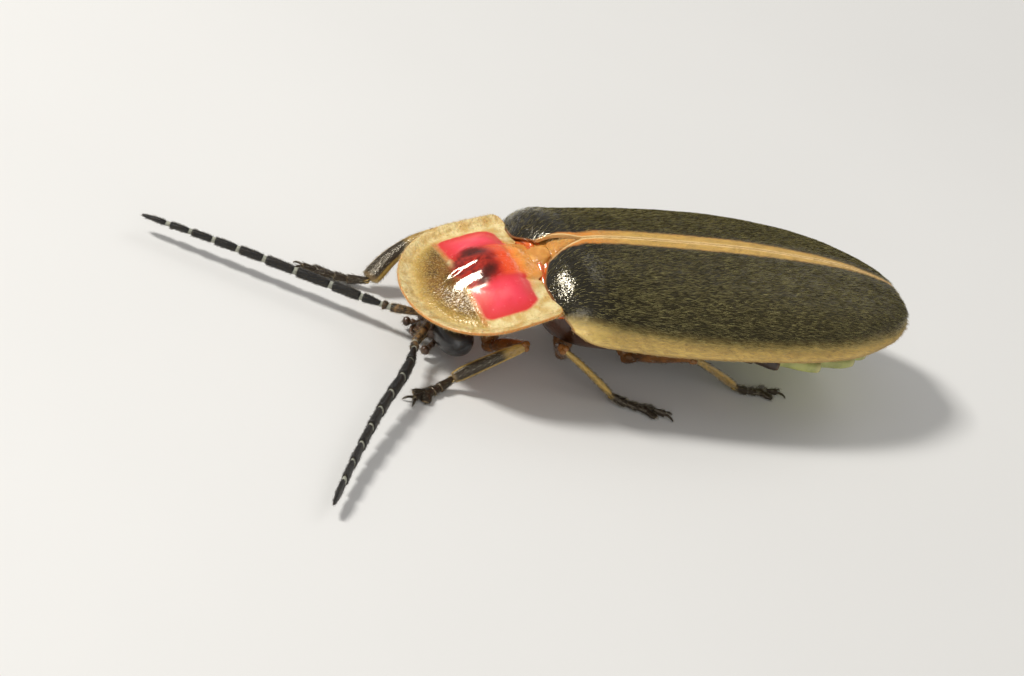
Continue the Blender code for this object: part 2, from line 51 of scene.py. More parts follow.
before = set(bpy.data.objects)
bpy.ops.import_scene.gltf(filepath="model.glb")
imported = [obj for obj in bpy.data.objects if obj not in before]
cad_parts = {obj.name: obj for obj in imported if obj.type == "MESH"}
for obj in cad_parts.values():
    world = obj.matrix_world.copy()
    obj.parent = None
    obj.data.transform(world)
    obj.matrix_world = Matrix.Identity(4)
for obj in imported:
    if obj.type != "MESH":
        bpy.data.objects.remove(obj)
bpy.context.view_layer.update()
MM = 0.001
SIDES = {"left": -1, "right": 1}

# Where the beetle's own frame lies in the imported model, read from the eyes
EYE_X = -1.91
EYE_BOXES = [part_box(name) for name in ("eye_left", "eye_right")]
SHIFT = Vector((
    sum(corner.x for box in EYE_BOXES for corner in box) / 4 - EYE_X * MM,
    sum(corner.y for box in EYE_BOXES for corner in box) / 4,
    0.0,
))


# Numbers and curves

def smooth(low, high, value):
    """0 below low, 1 above high, and an S between."""
    share = np.clip((np.asarray(value, float) - low) / (high - low), 0.0, 1.0)
    return share * share * (3 - 2 * share)


def along(stations, t):
    """Values at t on a smooth curve through (place, value) stations. A value may be a point."""
    places = np.array([place for place, _ in stations], float)
    values = np.array([np.atleast_1d(value) for _, value in stations], float)
    t = np.clip(np.asarray(t, float), places[0], places[-1])
    i = np.clip(np.searchsorted(places, t, side="right") - 1, 0, len(places) - 2)
    last = len(places) - 1
    before, after = np.maximum(np.arange(last + 1) - 1, 0), np.minimum(np.arange(last + 1) + 1, last)
    slopes = (values[after] - values[before]) / (places[after] - places[before])[:, None]
    span = (places[i + 1] - places[i])[..., None]
    a = (t - places[i])[..., None] / span
    found = (values[i] * (1 + 2 * a) * (1 - a) ** 2 + slopes[i] * span * a * (1 - a) ** 2
             + values[i + 1] * a * a * (3 - 2 * a) + slopes[i + 1] * span * a * a * (a - 1))
    return found[..., 0] if found.shape[-1] == 1 else found


def evenly(path):
    """Stations for the points of a path, spaced evenly from 0 to 1."""
    return [(i / (len(path) - 1), point) for i, point in enumerate(path)]


def sized(stations, size):
    """Stations whose values are shares of one size."""
    return [(place, share * size) for place, share in stations]


def scaled(tone, share):
    return tuple(part * share for part in tone)


def bell(distance, spread):
    """1 at no distance, falling smoothly to almost 0 at twice the spread."""
    return np.exp(-(np.asarray(distance, float) / spread) ** 2)


def unit(vectors):
    vectors = np.asarray(vectors, float)
    return vectors / np.maximum(np.linalg.norm(vectors, axis=-1, keepdims=True), 1e-12)


def ripple(points, wave, seed):
    """Smooth seeded unevenness between -1 and 1 at points, with bumps about one wave apart."""
    rng = np.random.default_rng(seed)
    total = np.zeros(len(points))
    for _ in range(6):
        direction = unit(rng.normal(size=3))
        turns = points @ direction * (2 * pi / wave) * rng.uniform(0.7, 1.4)
        total += np.sin(turns + rng.uniform(0, 6.28))
    return total / 6


# Meshes

def pick_nothing():
    if bpy.context.object and bpy.context.object.mode != "OBJECT":
        bpy.ops.object.mode_set(mode="OBJECT")
    bpy.ops.object.select_all(action="DESELECT")


def only(obj):
    pick_nothing()
    obj.select_set(True)
    bpy.context.view_layer.objects.active = obj


def corners(obj):
    found = np.empty(len(obj.data.vertices) * 3)
    obj.data.vertices.foreach_get("co", found)
    return found.reshape(-1, 3)


def put(obj, points_mm):
    """Moves a piece's corners to points of the beetle's frame, given in millimetres."""
    placed = np.asarray(points_mm) * MM + np.array(SHIFT)
    obj.data.vertices.foreach_set("co", placed.astype(np.float32).ravel())
    obj.data.update()


def beetle_points(obj):
    return (corners(obj) - np.array(SHIFT)) / MM


def mark(obj, **marks):
    """Writes one number, or one direction, for each corner. Materials and hairs read them."""
    for name, values in marks.items():
        values = np.asarray(values, np.float32)
        kind, field = ("FLOAT", "value") if values.ndim == 1 else ("FLOAT_VECTOR", "vector")
        attribute = obj.data.attributes.get(name) or obj.data.attributes.new(name, kind, "POINT")
        attribute.data.foreach_set(field, values.ravel())


def apply(obj, kind, **settings):
    only(obj)
    modifier = obj.modifiers.new(kind.title(), kind)
    for key, value in settings.items():
        setattr(modifier, key, value)
    bpy.ops.object.modifier_apply(modifier=modifier.name)


def edit_all(obj, operator, **settings):
    """Runs an edit-mode operator on the whole of a piece."""
    only(obj)
    bpy.ops.object.mode_set(mode="EDIT")
    bpy.ops.mesh.select_all(action="SELECT")
    operator(**settings)
    bpy.ops.object.mode_set(mode="OBJECT")


def soften(obj, angle=radians(60)):
    only(obj)
    bpy.ops.object.shade_smooth_by_angle(angle=angle)


def sheet(name, across, down, shape):
    """A grid laid over a surface, facing up: shape(a, b) gives its points, a and b run from 0 to 1."""
    pick_nothing()
    bpy.ops.mesh.primitive_grid_add(x_subdivisions=across, y_subdivisions=down, size=2)
    obj = bpy.context.object
    obj.name = obj.data.name = name
    flat = corners(obj)
    a, b = (flat[:, 0] + 1) / 2, (flat[:, 1] + 1) / 2
    put(obj, shape(a, b))
    if sum(face.normal.z for face in obj.data.polygons) < 0:
        edit_all(obj, bpy.ops.mesh.flip_normals)
    return obj, a, b


def globe(name, segments, rings, shape):
    """A closed form: shape(direction) moves the unit directions of a globe to its points."""
    pick_nothing()
    bpy.ops.mesh.primitive_uv_sphere_add(segments=segments, ring_count=rings, radius=1)
    obj = bpy.context.object
    obj.name = obj.data.name = name
    put(obj, shape(unit(corners(obj))))
    edit_all(obj, bpy.ops.mesh.normals_make_consistent, inside=False)
    soften(obj)
    return obj


def rounded(direction, centre, half, squareness=2.0):
    """Points on a rounded box of those half sizes, where squareness 2 is a plain egg."""
    reach = (np.abs(direction) ** squareness).sum(-1, keepdims=True) ** (1 / squareness)
    return np.asarray(centre) + np.asarray(half) * direction / reach


def length_and_turn(direction):
    """Reads a globe as a tube: the share along its length, and the turn round it."""
    return (1 + direction[:, 2]) / 2, np.arctan2(direction[:, 1], direction[:, 0])


def round_end(share, end):
    """How wide a tube still is where its two ends, each that share of its length, round off."""
    past = np.maximum(np.abs(share - 0.5) * 2 - (1 - 2 * end), 0) / (2 * end)
    return np.sqrt(np.clip(1 - past ** 2, 0, 1))


SLOPE_STEP = 0.02               # share of a rod over which its direction is read


def rod(name, path, wide, tall=None, across=(0, 0, 1), segments=20, rings=24, end=0.07):
    """A limb piece: a globe drawn out along a smooth path. wide and tall are its half sizes, each a
    list of (share, millimetres) stations; across is the direction of wide, end each round end's share."""
    stations = evenly(path)
    across = np.asarray(across, float)
    found = {}

    def shape(direction):
        share, turn = length_and_turn(direction)
        ahead = unit(along(stations, np.minimum(share + SLOPE_STEP, 1))
                     - along(stations, np.maximum(share - SLOPE_STEP, 0)))
        side = unit(across - ahead * (ahead @ across)[:, None])
        top = np.cross(ahead, side)
        cap = round_end(share, end)
        half_wide = along(wide, share) * cap
        half_tall = half_wide if tall is None else along(tall, share) * cap
        found.update(share=share, lie=ahead, edge=np.abs(np.cos(turn)))
        return (along(stations, share) + side * (half_wide * np.cos(turn))[:, None]
                + top * (half_tall * np.sin(turn))[:, None])
    obj = globe(name, segments, rings, shape)
    mark(obj, **found)
    return obj


def tile_map(obj, number, count):
    """Squeezes a piece's unwrap into its own column, so that joined pieces don't share one."""
    layer = obj.data.uv_layers.active.data
    spots = np.empty(len(layer) * 2)
    layer.foreach_get("uv", spots)
    spots = spots.reshape(-1, 2)
    spots[:, 0] = (number + 0.04 + 0.92 * spots[:, 0]) / count
    layer.foreach_set("uv", spots.ravel())


def join(name, pieces):
    for number, piece in enumerate(pieces):
        tile_map(piece, number, len(pieces))
    only(pieces[0])
    for piece in pieces[1:]:
        piece.select_set(True)
    if len(pieces) > 1:
        bpy.ops.object.join()
    obj = bpy.context.object
    obj.name = obj.data.name = name
    return obj


def finish_piece(obj, slot, *nodes):
    """A piece rides on the one body and stands for its solids, which are hidden. Its slot is not used."""
    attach(obj, "root")
    if nodes:
        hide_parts(*nodes)


# Materials

class Finish:
    """A material and short ways to add nodes to it."""

    def __init__(self, name):
        self.material = bpy.data.materials.new(name)
        self.material.use_nodes = True
        self.tree = self.material.node_tree
        self.shader = self.tree.nodes["Principled BSDF"]
        self.place = self.tree.nodes.new("ShaderNodeTexCoord").outputs["Object"]

    def add(self, kind, inputs=(), **settings):
        node = self.tree.nodes.new(kind)
        for key, value in settings.items():
            setattr(node, key, value)
        for key, value in dict(inputs).items():
            self.feed(node.inputs[key], value)
        return node

    def feed(self, socket, value):
        if isinstance(value, bpy.types.NodeSocket):
            self.tree.links.new(value, socket)
        elif hasattr(socket.default_value, "__len__") and len(value) == 3 and len(socket.default_value) == 4:
            socket.default_value = (*value, 1.0)
        else:
            socket.default_value = value

    def number(self, name):
        return self.add("ShaderNodeAttribute", attribute_name=name).outputs["Fac"]

    def noise(self, size, detail=3.0, stretch=None):
        """Cloudy noise whose bumps are about size metres across."""
        place = self.place
        if stretch:
            place = self.add("ShaderNodeMapping", {"Vector": place, "Scale": stretch}).outputs["Vector"]
        return self.add("ShaderNodeTexNoise", {"Vector": place, "Scale": 1 / size, "Detail": detail}
                        ).outputs["Fac"]

    def cells(self, size, uneven=1.0):
        return self.add("ShaderNodeTexVoronoi", {"Vector": self.place, "Scale": 1 / size,
                                                 "Randomness": uneven}).outputs["Distance"]

    def step(self, value, low, high, start=0.0, end=1.0):
        return self.add("ShaderNodeMapRange", {"Value": value, "From Min": low, "From Max": high,
                                               "To Min": start, "To Max": end},
                        interpolation_type="SMOOTHSTEP").outputs["Result"]

    def calc(self, operation, a, b=0.0):
        return self.add("ShaderNodeMath", {0: a, 1: b}, operation=operation).outputs[0]

    def plus(self, a, b):
        return self.calc("ADD", a, b)

    def times(self, a, b):
        return self.calc("MULTIPLY", a, b)

    def waver(self, size, detail, amount):
        """Noise about zero, which makes an edge uneven."""
        return self.times(self.calc("SUBTRACT", self.noise(size, detail), 0.5), amount)

    def blend(self, share, a, b, kind="MIX"):
        node = self.add("ShaderNodeMix", data_type="RGBA", blend_type=kind)
        self.feed(node.inputs[0], share)
        self.feed(node.inputs[6], a)
        self.feed(node.inputs[7], b)
        return node.outputs[2]

    def mottle(self, tone, second, size, detail, low, high, most=1.0, stretch=None):
        """A colour with clouds of a second one, which cover it by most at their middle."""
        return self.blend(self.step(self.noise(size, detail, stretch), low, high, 0.0, most), tone, second)

    def grain(self, *layers):
        """Fine relief from layers of (height, distance, strength), each laid over those before it."""
        normal = None
        for height, distance, strength in layers:
            under = {} if normal is None else {"Normal": normal}
            node = self.add("ShaderNodeBump", {"Height": height, "Distance": distance,
                                               "Strength": strength, **under})
            normal = node.outputs["Normal"]
        return normal

    def set(self, **inputs):
        for key, value in inputs.items():
            self.feed(self.shader.inputs[key.replace("_", " ")], value)
        return self.material


def wear(obj, *materials):
    obj.data.materials.clear()
    for material in materials:
        obj.data.materials.append(material)


# Hairs

def corner_values(mesh, name, width):
    """A mark's values, one row for each corner, or zeros where a piece has no such mark."""
    found = np.zeros(len(mesh.vertices) * width)
    if name in mesh.attributes:
        mesh.attributes[name].data.foreach_get("value" if width == 1 else "vector", found)
    return found.reshape(-1, width)


def steady_order(points, verts, loops):
    """Orders triangles and their corners by place. Blender gives a globe's faces in another order
    each run, and the random choice of faces goes by their order."""
    rank = np.empty(len(points), int)
    rank[np.lexsort(points.T)] = np.arange(len(points))
    turns = (rank[verts].argmin(1)[:, None] + np.arange(3)) % 3
    verts, loops = np.take_along_axis(verts, turns, 1), np.take_along_axis(loops, turns, 1)
    order = np.lexsort(rank[verts].T)
    return verts[order], loops[order]


def scatter(obj, count, seed, weight=None):
    """Random spots on a piece, evenly by area: points in mm, outward directions, the lie of its hairs,
    unwrap places and how pale its hairs are there. weight(points, normals) thins them. Only rods
    carry the mark share, and they are made of globes."""
    mesh = obj.data
    mesh.calc_loop_triangles()
    total = len(mesh.loop_triangles)
    verts = np.empty(total * 3, int)
    loops = np.empty(total * 3, int)
    mesh.loop_triangles.foreach_get("vertices", verts)
    mesh.loop_triangles.foreach_get("loops", loops)
    verts, loops = verts.reshape(-1, 3), loops.reshape(-1, 3)
    points = beetle_points(obj)
    if "share" in mesh.attributes:
        verts, loops = steady_order(points, verts, loops)
    normals = np.empty(len(mesh.vertices) * 3)
    mesh.vertices.foreach_get("normal", normals)
    spots = np.empty(len(mesh.loops) * 2)
    mesh.uv_layers.active.data.foreach_get("uv", spots)
    a, b, c = (points[verts[:, k]] for k in range(3))
    area = np.linalg.norm(np.cross(b - a, c - a), axis=1) / 2
    if weight is not None:
        area = area * weight((a + b + c) / 3, unit(np.cross(b - a, c - a)))
    rng = np.random.default_rng(seed)
    chosen = rng.choice(total, size=count, p=area / area.sum())
    first, second = rng.random((2, count))
    flip = first + second > 1
    first[flip], second[flip] = 1 - first[flip], 1 - second[flip]
    shares = np.stack([1 - first - second, first, second], 1)[..., None]

    def mixed(values, places=verts):
        return (values[places[chosen]] * shares).sum(1)
    return (mixed(points), unit(mixed(normals.reshape(-1, 3))), unit(mixed(corner_values(mesh, "lie", 3))),
            mixed(spots.reshape(-1, 2), loops), mixed(corner_values(mesh, "pale", 1))[:, 0], rng)


HAIR_SIDES = 3
HAIR_YAW = 0.15                 # spread of a hair's direction about the coat's lie
LENGTH_SPREAD = (0.65, 1.25)
LIFT_SPREAD = (0.6, 1.4)
THICK_SPREAD = (0.8, 1.2)
LOWEST_HAIR = 0.003             # no hair dips under the floor
PATCH = 0.0015                  # half of the unwrap patch that each hair keeps
COATS = {                       # half width in mm and rise of each coat's hairs
    "cover": (0.0021, 0.17), "shield": (0.0022, 0.45), "scutellum": (0.0026, 0.3),
    "head": (0.0026, 0.6), "feeler": (0.0024, 0.55), "leg": (0.0027, 0.42),
}


def hair_corners(places, length, thick, lift, lean):
    """Corners of tapered hairs: a ring at the root, one at the middle, and the tip."""
    roots, normals, lie, _, _, rng = places
    count = len(roots)
    lie = lie + np.array(lean)
    lie = unit(lie - normals * (lie * normals).sum(1, keepdims=True))
    side = np.cross(normals, lie)
    yaw = rng.normal(0, HAIR_YAW, (count, 1))
    lie = unit(lie + side * yaw)
    side = np.cross(normals, lie)
    length = (length * rng.uniform(*LENGTH_SPREAD, count))[:, None]
    lift = (lift * rng.uniform(*LIFT_SPREAD, count))[:, None]
    thick = (thick * rng.uniform(*THICK_SPREAD, count))[:, None]
    base = roots - normals * thick
    middle = roots + lie * length * 0.5 + normals * length * lift * 0.62
    tip = roots + lie * length + normals * length * lift * 0.85 + side * length * yaw * 0.3
    rings = []
    for centre, scale in ((base, 1.0), (middle, 0.8)):
        for k in range(HAIR_SIDES):
            angle = 2 * pi * k / HAIR_SIDES
            rings.append(centre + (side * cos(angle) + normals * sin(angle)) * thick * scale)
    verts = np.stack([*rings, tip], 1)
    verts[..., 2] = np.maximum(verts[..., 2], LOWEST_HAIR)
    return verts


def hairs(name, places, length, thick, lift, lean=(0, 0, 0)):
    """One mesh of many fine tapered hairs at scattered places. length and thick (their half width) are
    in mm, lift is their rise from the skin as a share of their length, and lean turns their lie."""
    spots, pale, rng = places[3:]
    verts = hair_corners(places, length, thick, lift, lean)
    count, each = verts.shape[:2]
    n = HAIR_SIDES
    quads, tris = [], [[2, 1, 0]]
    for k in range(n):
        after = (k + 1) % n
        quads.append([k, after, n + after, n + k])
        tris.append([n + k, n + after, 2 * n])
    start = np.arange(count)[:, None, None] * each
    quads = (np.array(quads)[None] + start).reshape(-1, 4)
    tris = (np.array(tris)[None] + start).reshape(-1, 3)
    mesh = bpy.data.meshes.new(name)
    mesh.vertices.add(count * each)
    placed = verts.reshape(-1, 3) * MM + np.array(SHIFT)
    mesh.vertices.foreach_set("co", placed.astype(np.float32).ravel())
    sides = np.concatenate([np.full(len(quads), 4), np.full(len(tris), 3)])
    mesh.loops.add(int(sides.sum()))
    mesh.loops.foreach_set("vertex_index", np.concatenate([quads.ravel(), tris.ravel()]).astype(np.int32))
    mesh.polygons.add(len(sides))
    mesh.polygons.foreach_set("loop_start", np.concatenate([[0], np.cumsum(sides)[:-1]]).astype(np.int32))
    mesh.update(calc_edges=True)
    mesh.validate()
    obj = bpy.data.objects.new(name, mesh)
    bpy.context.scene.collection.objects.link(obj)
    corner = np.empty(len(mesh.loops), np.int32)
    mesh.loops.foreach_get("vertex_index", corner)
    own = corner % each
    reach = np.where(own == 2 * n, 1.0, np.where(own >= n, 0.5, 0.0))
    patch = np.stack([np.cos(own * 2 * pi / n), reach * 2 - 1], 1) * PATCH
    layer = mesh.uv_layers.new(name="OFBake")
    layer.data.foreach_set("uv", (spots[corner // each] + patch).astype(np.float32).ravel())
    mark(obj, tone=np.repeat(rng.random(count), each), pale=np.repeat(pale, each))
    mesh.shade_smooth()
    return obj


# Sizes and colours that a user may change

def colour(name, description, value):
    return FloatVectorProperty(name=name, description=description, default=value, size=3, min=0, max=1,
                               subtype="COLOR")


def length(name, description, value):
    return FloatProperty(name=name, description=description, default=value, min=0, unit="LENGTH",
                         precision=6)


class FireflySizes(PropertyGroup):
    cover_skin: length("Wing cover thickness", "Thickness of a wing cover's wall", 0.00010)
    cover_hairs: IntProperty(name="Wing cover hairs", description="Hairs in each half of a wing cover's coat",
                             default=19500, min=0, max=19500)
    cover_hair: length("Wing cover hair", "Length of the short hairs on the wing covers", 0.00015)
    shield_hairs: IntProperty(name="Shield hairs", description="Hairs on the shield", default=6000,
                              min=100, max=19000)
    shield_hair: length("Shield hair", "Length of the shield's hairs", 0.00006)
    feeler_width: length("Feeler half width", "Half width of a feeler's middle joints", 0.000185)
    feeler_hairs: IntProperty(name="Feeler hairs", description="Hairs on each feeler", default=3200,
                              min=100, max=19000)
    leg_hairs: IntProperty(name="Leg hairs", description="Hairs on each leg", default=1800, min=100,
                           max=19000)


class FireflyColours(PropertyGroup):
    shell_front: colour("Shell, front", "Wing covers near their roots", (0.0050, 0.0040, 0.0028))
    shell_rear: colour("Shell, rear", "Wing covers near their tips", (0.034, 0.029, 0.0105))
    stripe: colour("Stripe", "Pale stripe along the seam", (0.72, 0.44, 0.095))
    seam: colour("Seam line", "Bright line at the seam itself", (0.87, 0.62, 0.28))
    margin: colour("Margin", "Golden side margin of the wing covers", (0.80, 0.57, 0.17))
    shell_hair: colour("Shell hair", "Short hairs of the wing covers", (0.82, 0.72, 0.30))
    cream: colour("Cream", "The shield's margin", (0.86, 0.71, 0.36))
    horn: colour("Clear horn", "Olive brown front of the shield", (0.17, 0.070, 0.007))
    gold: colour("Gold", "The shield's clear front edge and the shins' edges", (0.60, 0.39, 0.095))
    red: colour("Red patch", "The shield's two swollen patches", (0.90, 0.052, 0.095))
    scarlet: colour("Scarlet", "Rims of the red patches", (0.68, 0.022, 0.024))
    spot: colour("Dark spot", "The dark arch of the shield's centre", (0.045, 0.005, 0.004))
    orange: colour("Orange", "Front end of the chest", (0.83, 0.22, 0.035))
    amber: colour("Amber", "The scutellum", (0.60, 0.25, 0.045))
    thigh: colour("Thigh", "Thighs, hips and knees", (0.27, 0.105, 0.024))
    leg_pale: colour("Leg, pale", "Upper shins", (0.36, 0.22, 0.06))
    leg_dark: colour("Leg, dark", "Lower shins and toes", (0.022, 0.014, 0.010))
    joint: colour("Feeler joint", "The feelers' black joints", (0.0070, 0.0060, 0.0055))
    joint_ring: colour("Feeler ring", "Pale rings between the joints", (0.31, 0.32, 0.26))
    head: colour("Head", "The head's case", (0.035, 0.016, 0.009))
    eye: colour("Eye", "The eyes", (0.006, 0.006, 0.008))
    chest: colour("Chest", "The chest behind its front end", (0.10, 0.036, 0.014))
    belly: colour("Belly", "Dark belly rings", (0.040, 0.020, 0.011))
    lamp: colour("Light organ", "Pale light-organ rings", (0.50, 0.52, 0.17))
    floor: colour("Floor", "The plain pale floor", (0.80, 0.79, 0.77))


def sizes():
    return bpy.context.scene.firefly_sizes


def tint(name):
    return tuple(getattr(bpy.context.scene.firefly_colours, name))


def mm(size):
    return size / MM


# Wing covers: u runs from root to tip and t from the seam to the side rim

COVER_LENGTH = 9.47
COVER_HALF_WIDTH = 2.50
COVER_HEIGHT = 1.33             # of the seam over the rim level
RIM_LEVEL = 1.70
COVER_GRID = (190, 70)

# Along u: shares of the half width and of the height, and the rim's rise in mm
COVER_WIDTHS = ((0.0, 0.80), (0.04, 0.875), (0.12, 0.90), (0.25, 0.96), (0.42, 1.0), (0.60, 0.985),
                (0.74, 0.90), (0.81, 0.81), (0.85, 0.74), (0.90, 0.64), (0.93, 0.56), (0.96, 0.45),
                (0.985, 0.32), (1.0, 0.14))
COVER_SEAM_HEIGHTS = ((0.0, 0.82), (0.03, 0.91), (0.10, 0.97), (0.22, 1.0), (0.50, 0.97), (0.70, 0.86),
                      (0.82, 0.74), (0.90, 0.60), (0.95, 0.49), (0.98, 0.37), (1.0, 0.17))
COVER_RIM_HEIGHTS = ((0.0, 0.16), (0.04, 0.02), (0.10, -0.06), (0.20, -0.08), (0.35, -0.04), (0.50, 0.0),
                     (0.80, 0.03), (0.93, 0.12), (1.0, 0.22))

COVER_SQUARENESS = 2.3
COVER_LEAD = 0.11               # how far the root is drawn forward at the seam
SEAM_HALF_GAP = 0.012           # the covers all but touch along the seam
SEAM_BEAD = 0.035               # height of the swollen seam
RIM_GROOVE = 0.05               # depth of the groove along the side rim

# Along t: how far the root rolls forward, and how far down
ROOT_REACH = ((0.0, 0.08), (0.05, 0.17), (0.18, 0.31), (0.31, 0.30), (0.46, 0.27), (0.66, 0.18),
              (0.85, 0.06), (1.0, 0.0))
ROOT_DROP = ((0.0, 0.24), (0.06, 0.34), (0.18, 0.48), (0.42, 0.44), (0.66, 0.32), (0.85, 0.16),
             (1.0, 0.0))

TIP_SHARE = 0.060               # of a cover's length, over which its inner edge rounds off
TIP_INSET = 0.32                # how far that edge ends from the seam
ROOT_SHARE = 0.060              # of a cover's length, over which its root turns down

# Along u: how wide the pale stripe and the side margin are in mm
STRIPE_WIDTHS = ((0.0, 0.03), (0.02, 0.045), (0.045, 0.12), (0.075, 0.20), (0.12, 0.24), (0.50, 0.26),
                 (0.70, 0.20), (0.85, 0.11), (0.93, 0.06), (1.0, 0.02))
MARGIN_WIDTHS = ((0.0, 0.20), (0.03, 0.34), (0.10, 0.36), (0.40, 0.27), (0.80, 0.23), (0.92, 0.09),
                 (1.0, -0.04))

SCUTELLUM_START = -0.24         # x of its front, between the covers' roots
SCUTELLUM_LENGTH = 0.84
SCUTELLUM_HALF_WIDTH = 0.50


def beside_scutellum(x):
    """Where a wing cover's inner edge runs: along the scutellum's side, then along the seam."""
    share = np.clip((x - SCUTELLUM_START) / SCUTELLUM_LENGTH, 0, 1)
    return SCUTELLUM_HALF_WIDTH * (1 - share) ** 1.1


def cover_points(u, t):
    """Points of the right wing cover's outer face."""
    half = COVER_HALF_WIDTH * along(COVER_WIDTHS, u)
    inner = np.maximum(SEAM_HALF_GAP, beside_scutellum(u * COVER_LENGTH - 0.10))
    ending = np.clip((u - 1) / TIP_SHARE + 1, 0, 0.985)
    inner = inner + TIP_INSET * (1 - np.sqrt(1 - ending ** 2))
    seam = COVER_HEIGHT * along(COVER_SEAM_HEIGHTS, u)
    rim = along(COVER_RIM_HEIGHTS, u)
    turn = t * pi / 2
    power = 2 / COVER_SQUARENESS
    bead = (SEAM_BEAD * (1 - smooth(0.06, 0.17, t)) * smooth(0.05, 0.12, u)
            - RIM_GROOVE * (smooth(0.60, 0.84, t) - smooth(0.88, 0.97, t)))
    out, up = np.sin(turn), np.cos(turn)
    y = inner + (half - inner) * out ** power + bead * out
    z = RIM_LEVEL + rim + (seam - rim) * np.maximum(up, 0) ** power + bead * up
    root = np.clip(1 - u / ROOT_SHARE, 0, 1) * pi / 2
    x = u * COVER_LENGTH - COVER_LEAD * (1 - u / ROOT_SHARE).clip(0, 1) ** 2 * (1 - 0.8 * t)
    x = x - along(ROOT_REACH, t) * np.sin(root) ** 1.1
    z = z - along(ROOT_DROP, t) * (1 - np.cos(root)) ** 1.4
    return np.stack([x, y, z], -1)


REACH_STEPS = 30


def surface_reach(shape, u, t, end):
    """How far it is over the surface from t to its end, at the same u."""
    reach = np.zeros(len(u))
    before = shape(u, t)
    for k in range(1, REACH_STEPS + 1):
        here = shape(u, t + (end - t) * k / REACH_STEPS)
        reach += np.linalg.norm(here - before, axis=1)
        before = here
    return reach


def cover_share(a):
    """Rows of the cover's grid lie closer together near its root."""
    return 0.35 * a ** 2 + 0.65 * a


def wing_cover(name, side):
    flip = np.array([1, side, 1])
    obj, a, b = sheet(name, *COVER_GRID, lambda a, b: cover_points(cover_share(a), b) * flip)
    u = cover_share(a)
    points = beetle_points(obj)
    uneven = ripple(points * (1, 1.8, 1), 1.1, 5) * 0.008
    points[:, 2] += uneven * smooth(0.12, 0.3, b) * (1 - smooth(0.75, 0.9, b))
    put(obj, points)
    from_seam = surface_reach(cover_points, u, b, 0.0)
    from_rim = surface_reach(cover_points, u, b, 1.0)
    from_root = surface_reach(lambda t, u: cover_points(u, t), b, u, 0.0)
    tip = (1 - u) * COVER_LENGTH
    in_stripe = along(STRIPE_WIDTHS, u) - from_seam
    margin = along(MARGIN_WIDTHS, u)
    pale = np.maximum(smooth(-0.02, 0.03, in_stripe), smooth(-0.16, 0.06, margin - np.minimum(from_rim, tip)))
    mark(obj, run=u, seam_reach=from_seam, stripe=in_stripe,
         margin=margin - np.minimum(from_rim, tip * 0.8 + 0.02), rim_reach=np.minimum(from_rim, tip),
         pale=pale, root_reach=from_root,
         lie=np.stack([np.ones(len(u)), 0.10 * side * smooth(0, 1, b), np.zeros(len(u))], 1))
    thinning = obj.vertex_groups.new(name="thinning")
    for index, share in enumerate(1 - 0.8 * smooth(0.90, 1.0, u)):
        thinning.add([index], share, "REPLACE")
    apply(obj, "SOLIDIFY", thickness=sizes().cover_skin, offset=-1.0, use_even_offset=False,
          vertex_group="thinning")
    soften(obj, radians(50))
    return obj


def cover_finish():
    f = Finish("wing_cover_shell")
    run, seam_reach, in_stripe = f.number("run"), f.number("seam_reach"), f.number("stripe")
    blur = f.waver(0.00012, 4, 0.14)
    stripe = f.step(f.plus(in_stripe, f.times(blur, 0.7)), -0.040, 0.040)
    margin = f.step(f.plus(f.number("margin"), f.plus(blur, f.waver(0.0004, 3, 0.10))), -0.32, 0.12)
    dark = f.blend(f.step(run, 0.10, 0.80), tint("shell_front"), tint("shell_rear"))
    dark = f.blend(f.step(f.noise(0.00045, 4), 0.35, 0.75), dark, (0.62, 0.58, 0.52), "MULTIPLY")
    pores = f.step(f.cells(0.00004), 0.15, 0.5, f.step(run, 0.0, 0.5, 0.06, 0.22), 0.0)
    dark = f.blend(pores, dark, (0.10, 0.088, 0.058))
    gold = f.mottle(tint("stripe"), scaled(tint("stripe"), 0.80), 0.0003, 4, 0.3, 0.7, 1.0, (1, 3, 3))
    gold = f.blend(f.step(run, 0.05, 0.22, 0.85, 0.0), gold, (0.76, 0.24, 0.035))
    gold = f.blend(f.step(seam_reach, 0.030, 0.065, 0.90, 0.0), gold, tint("seam"))
    gold = f.blend(f.step(in_stripe, 0.0, 0.07, 0.55, 0.0), gold, (0.42, 0.15, 0.025))
    side = f.mottle(tint("margin"), scaled(tint("margin"), 1.2), 0.00035, 4, 0.35, 0.7, 1.0, (1, 2, 2))
    side = f.blend(f.step(f.number("rim_reach"), 0.015, 0.06, 0.70, 0.0), side, (0.30, 0.13, 0.025))
    skin = f.blend(stripe, f.blend(margin, dark, side), gold)
    skin = f.blend(f.step(f.number("root_reach"), 0.02, 0.07, 0.8, 0.0), skin, (0.30, 0.10, 0.02))
    grain = f.grain((f.noise(0.00006, 2), 0.000016, f.step(run, 0.05, 0.40, 0.9, 0.5)),
                    (f.noise(0.00018, 4), 0.000020, 0.35))
    return f.set(Base_Color=skin, Roughness=f.step(run, 0.0, 0.25, 0.16, 0.46), Normal=grain,
                 Specular_IOR_Level=0.7, Specular_Tint=(1.0, 0.86, 0.55),
                 Coat_Weight=f.step(run, 0.02, 0.09, 0.8, 0.0), Coat_Roughness=0.10, Coat_Normal=grain)


PALE_HAIR = (0.80, 0.60, 0.28)  # hairs that grow on pale skin


def hair_finish(name, dark, light):
    f = Finish(name)
    skin = f.blend(f.step(f.number("tone"), 0.45, 1.0), dark, light)
    skin = f.mottle(skin, scaled(dark, 0.6), 0.0006, 3, 0.3, 0.7, 0.35)
    skin = f.blend(f.number("pale"), skin, PALE_HAIR)
    return f.set(Base_Color=skin, Roughness=0.24, Specular_IOR_Level=0.8, Specular_Tint=(1.0, 0.80, 0.40))


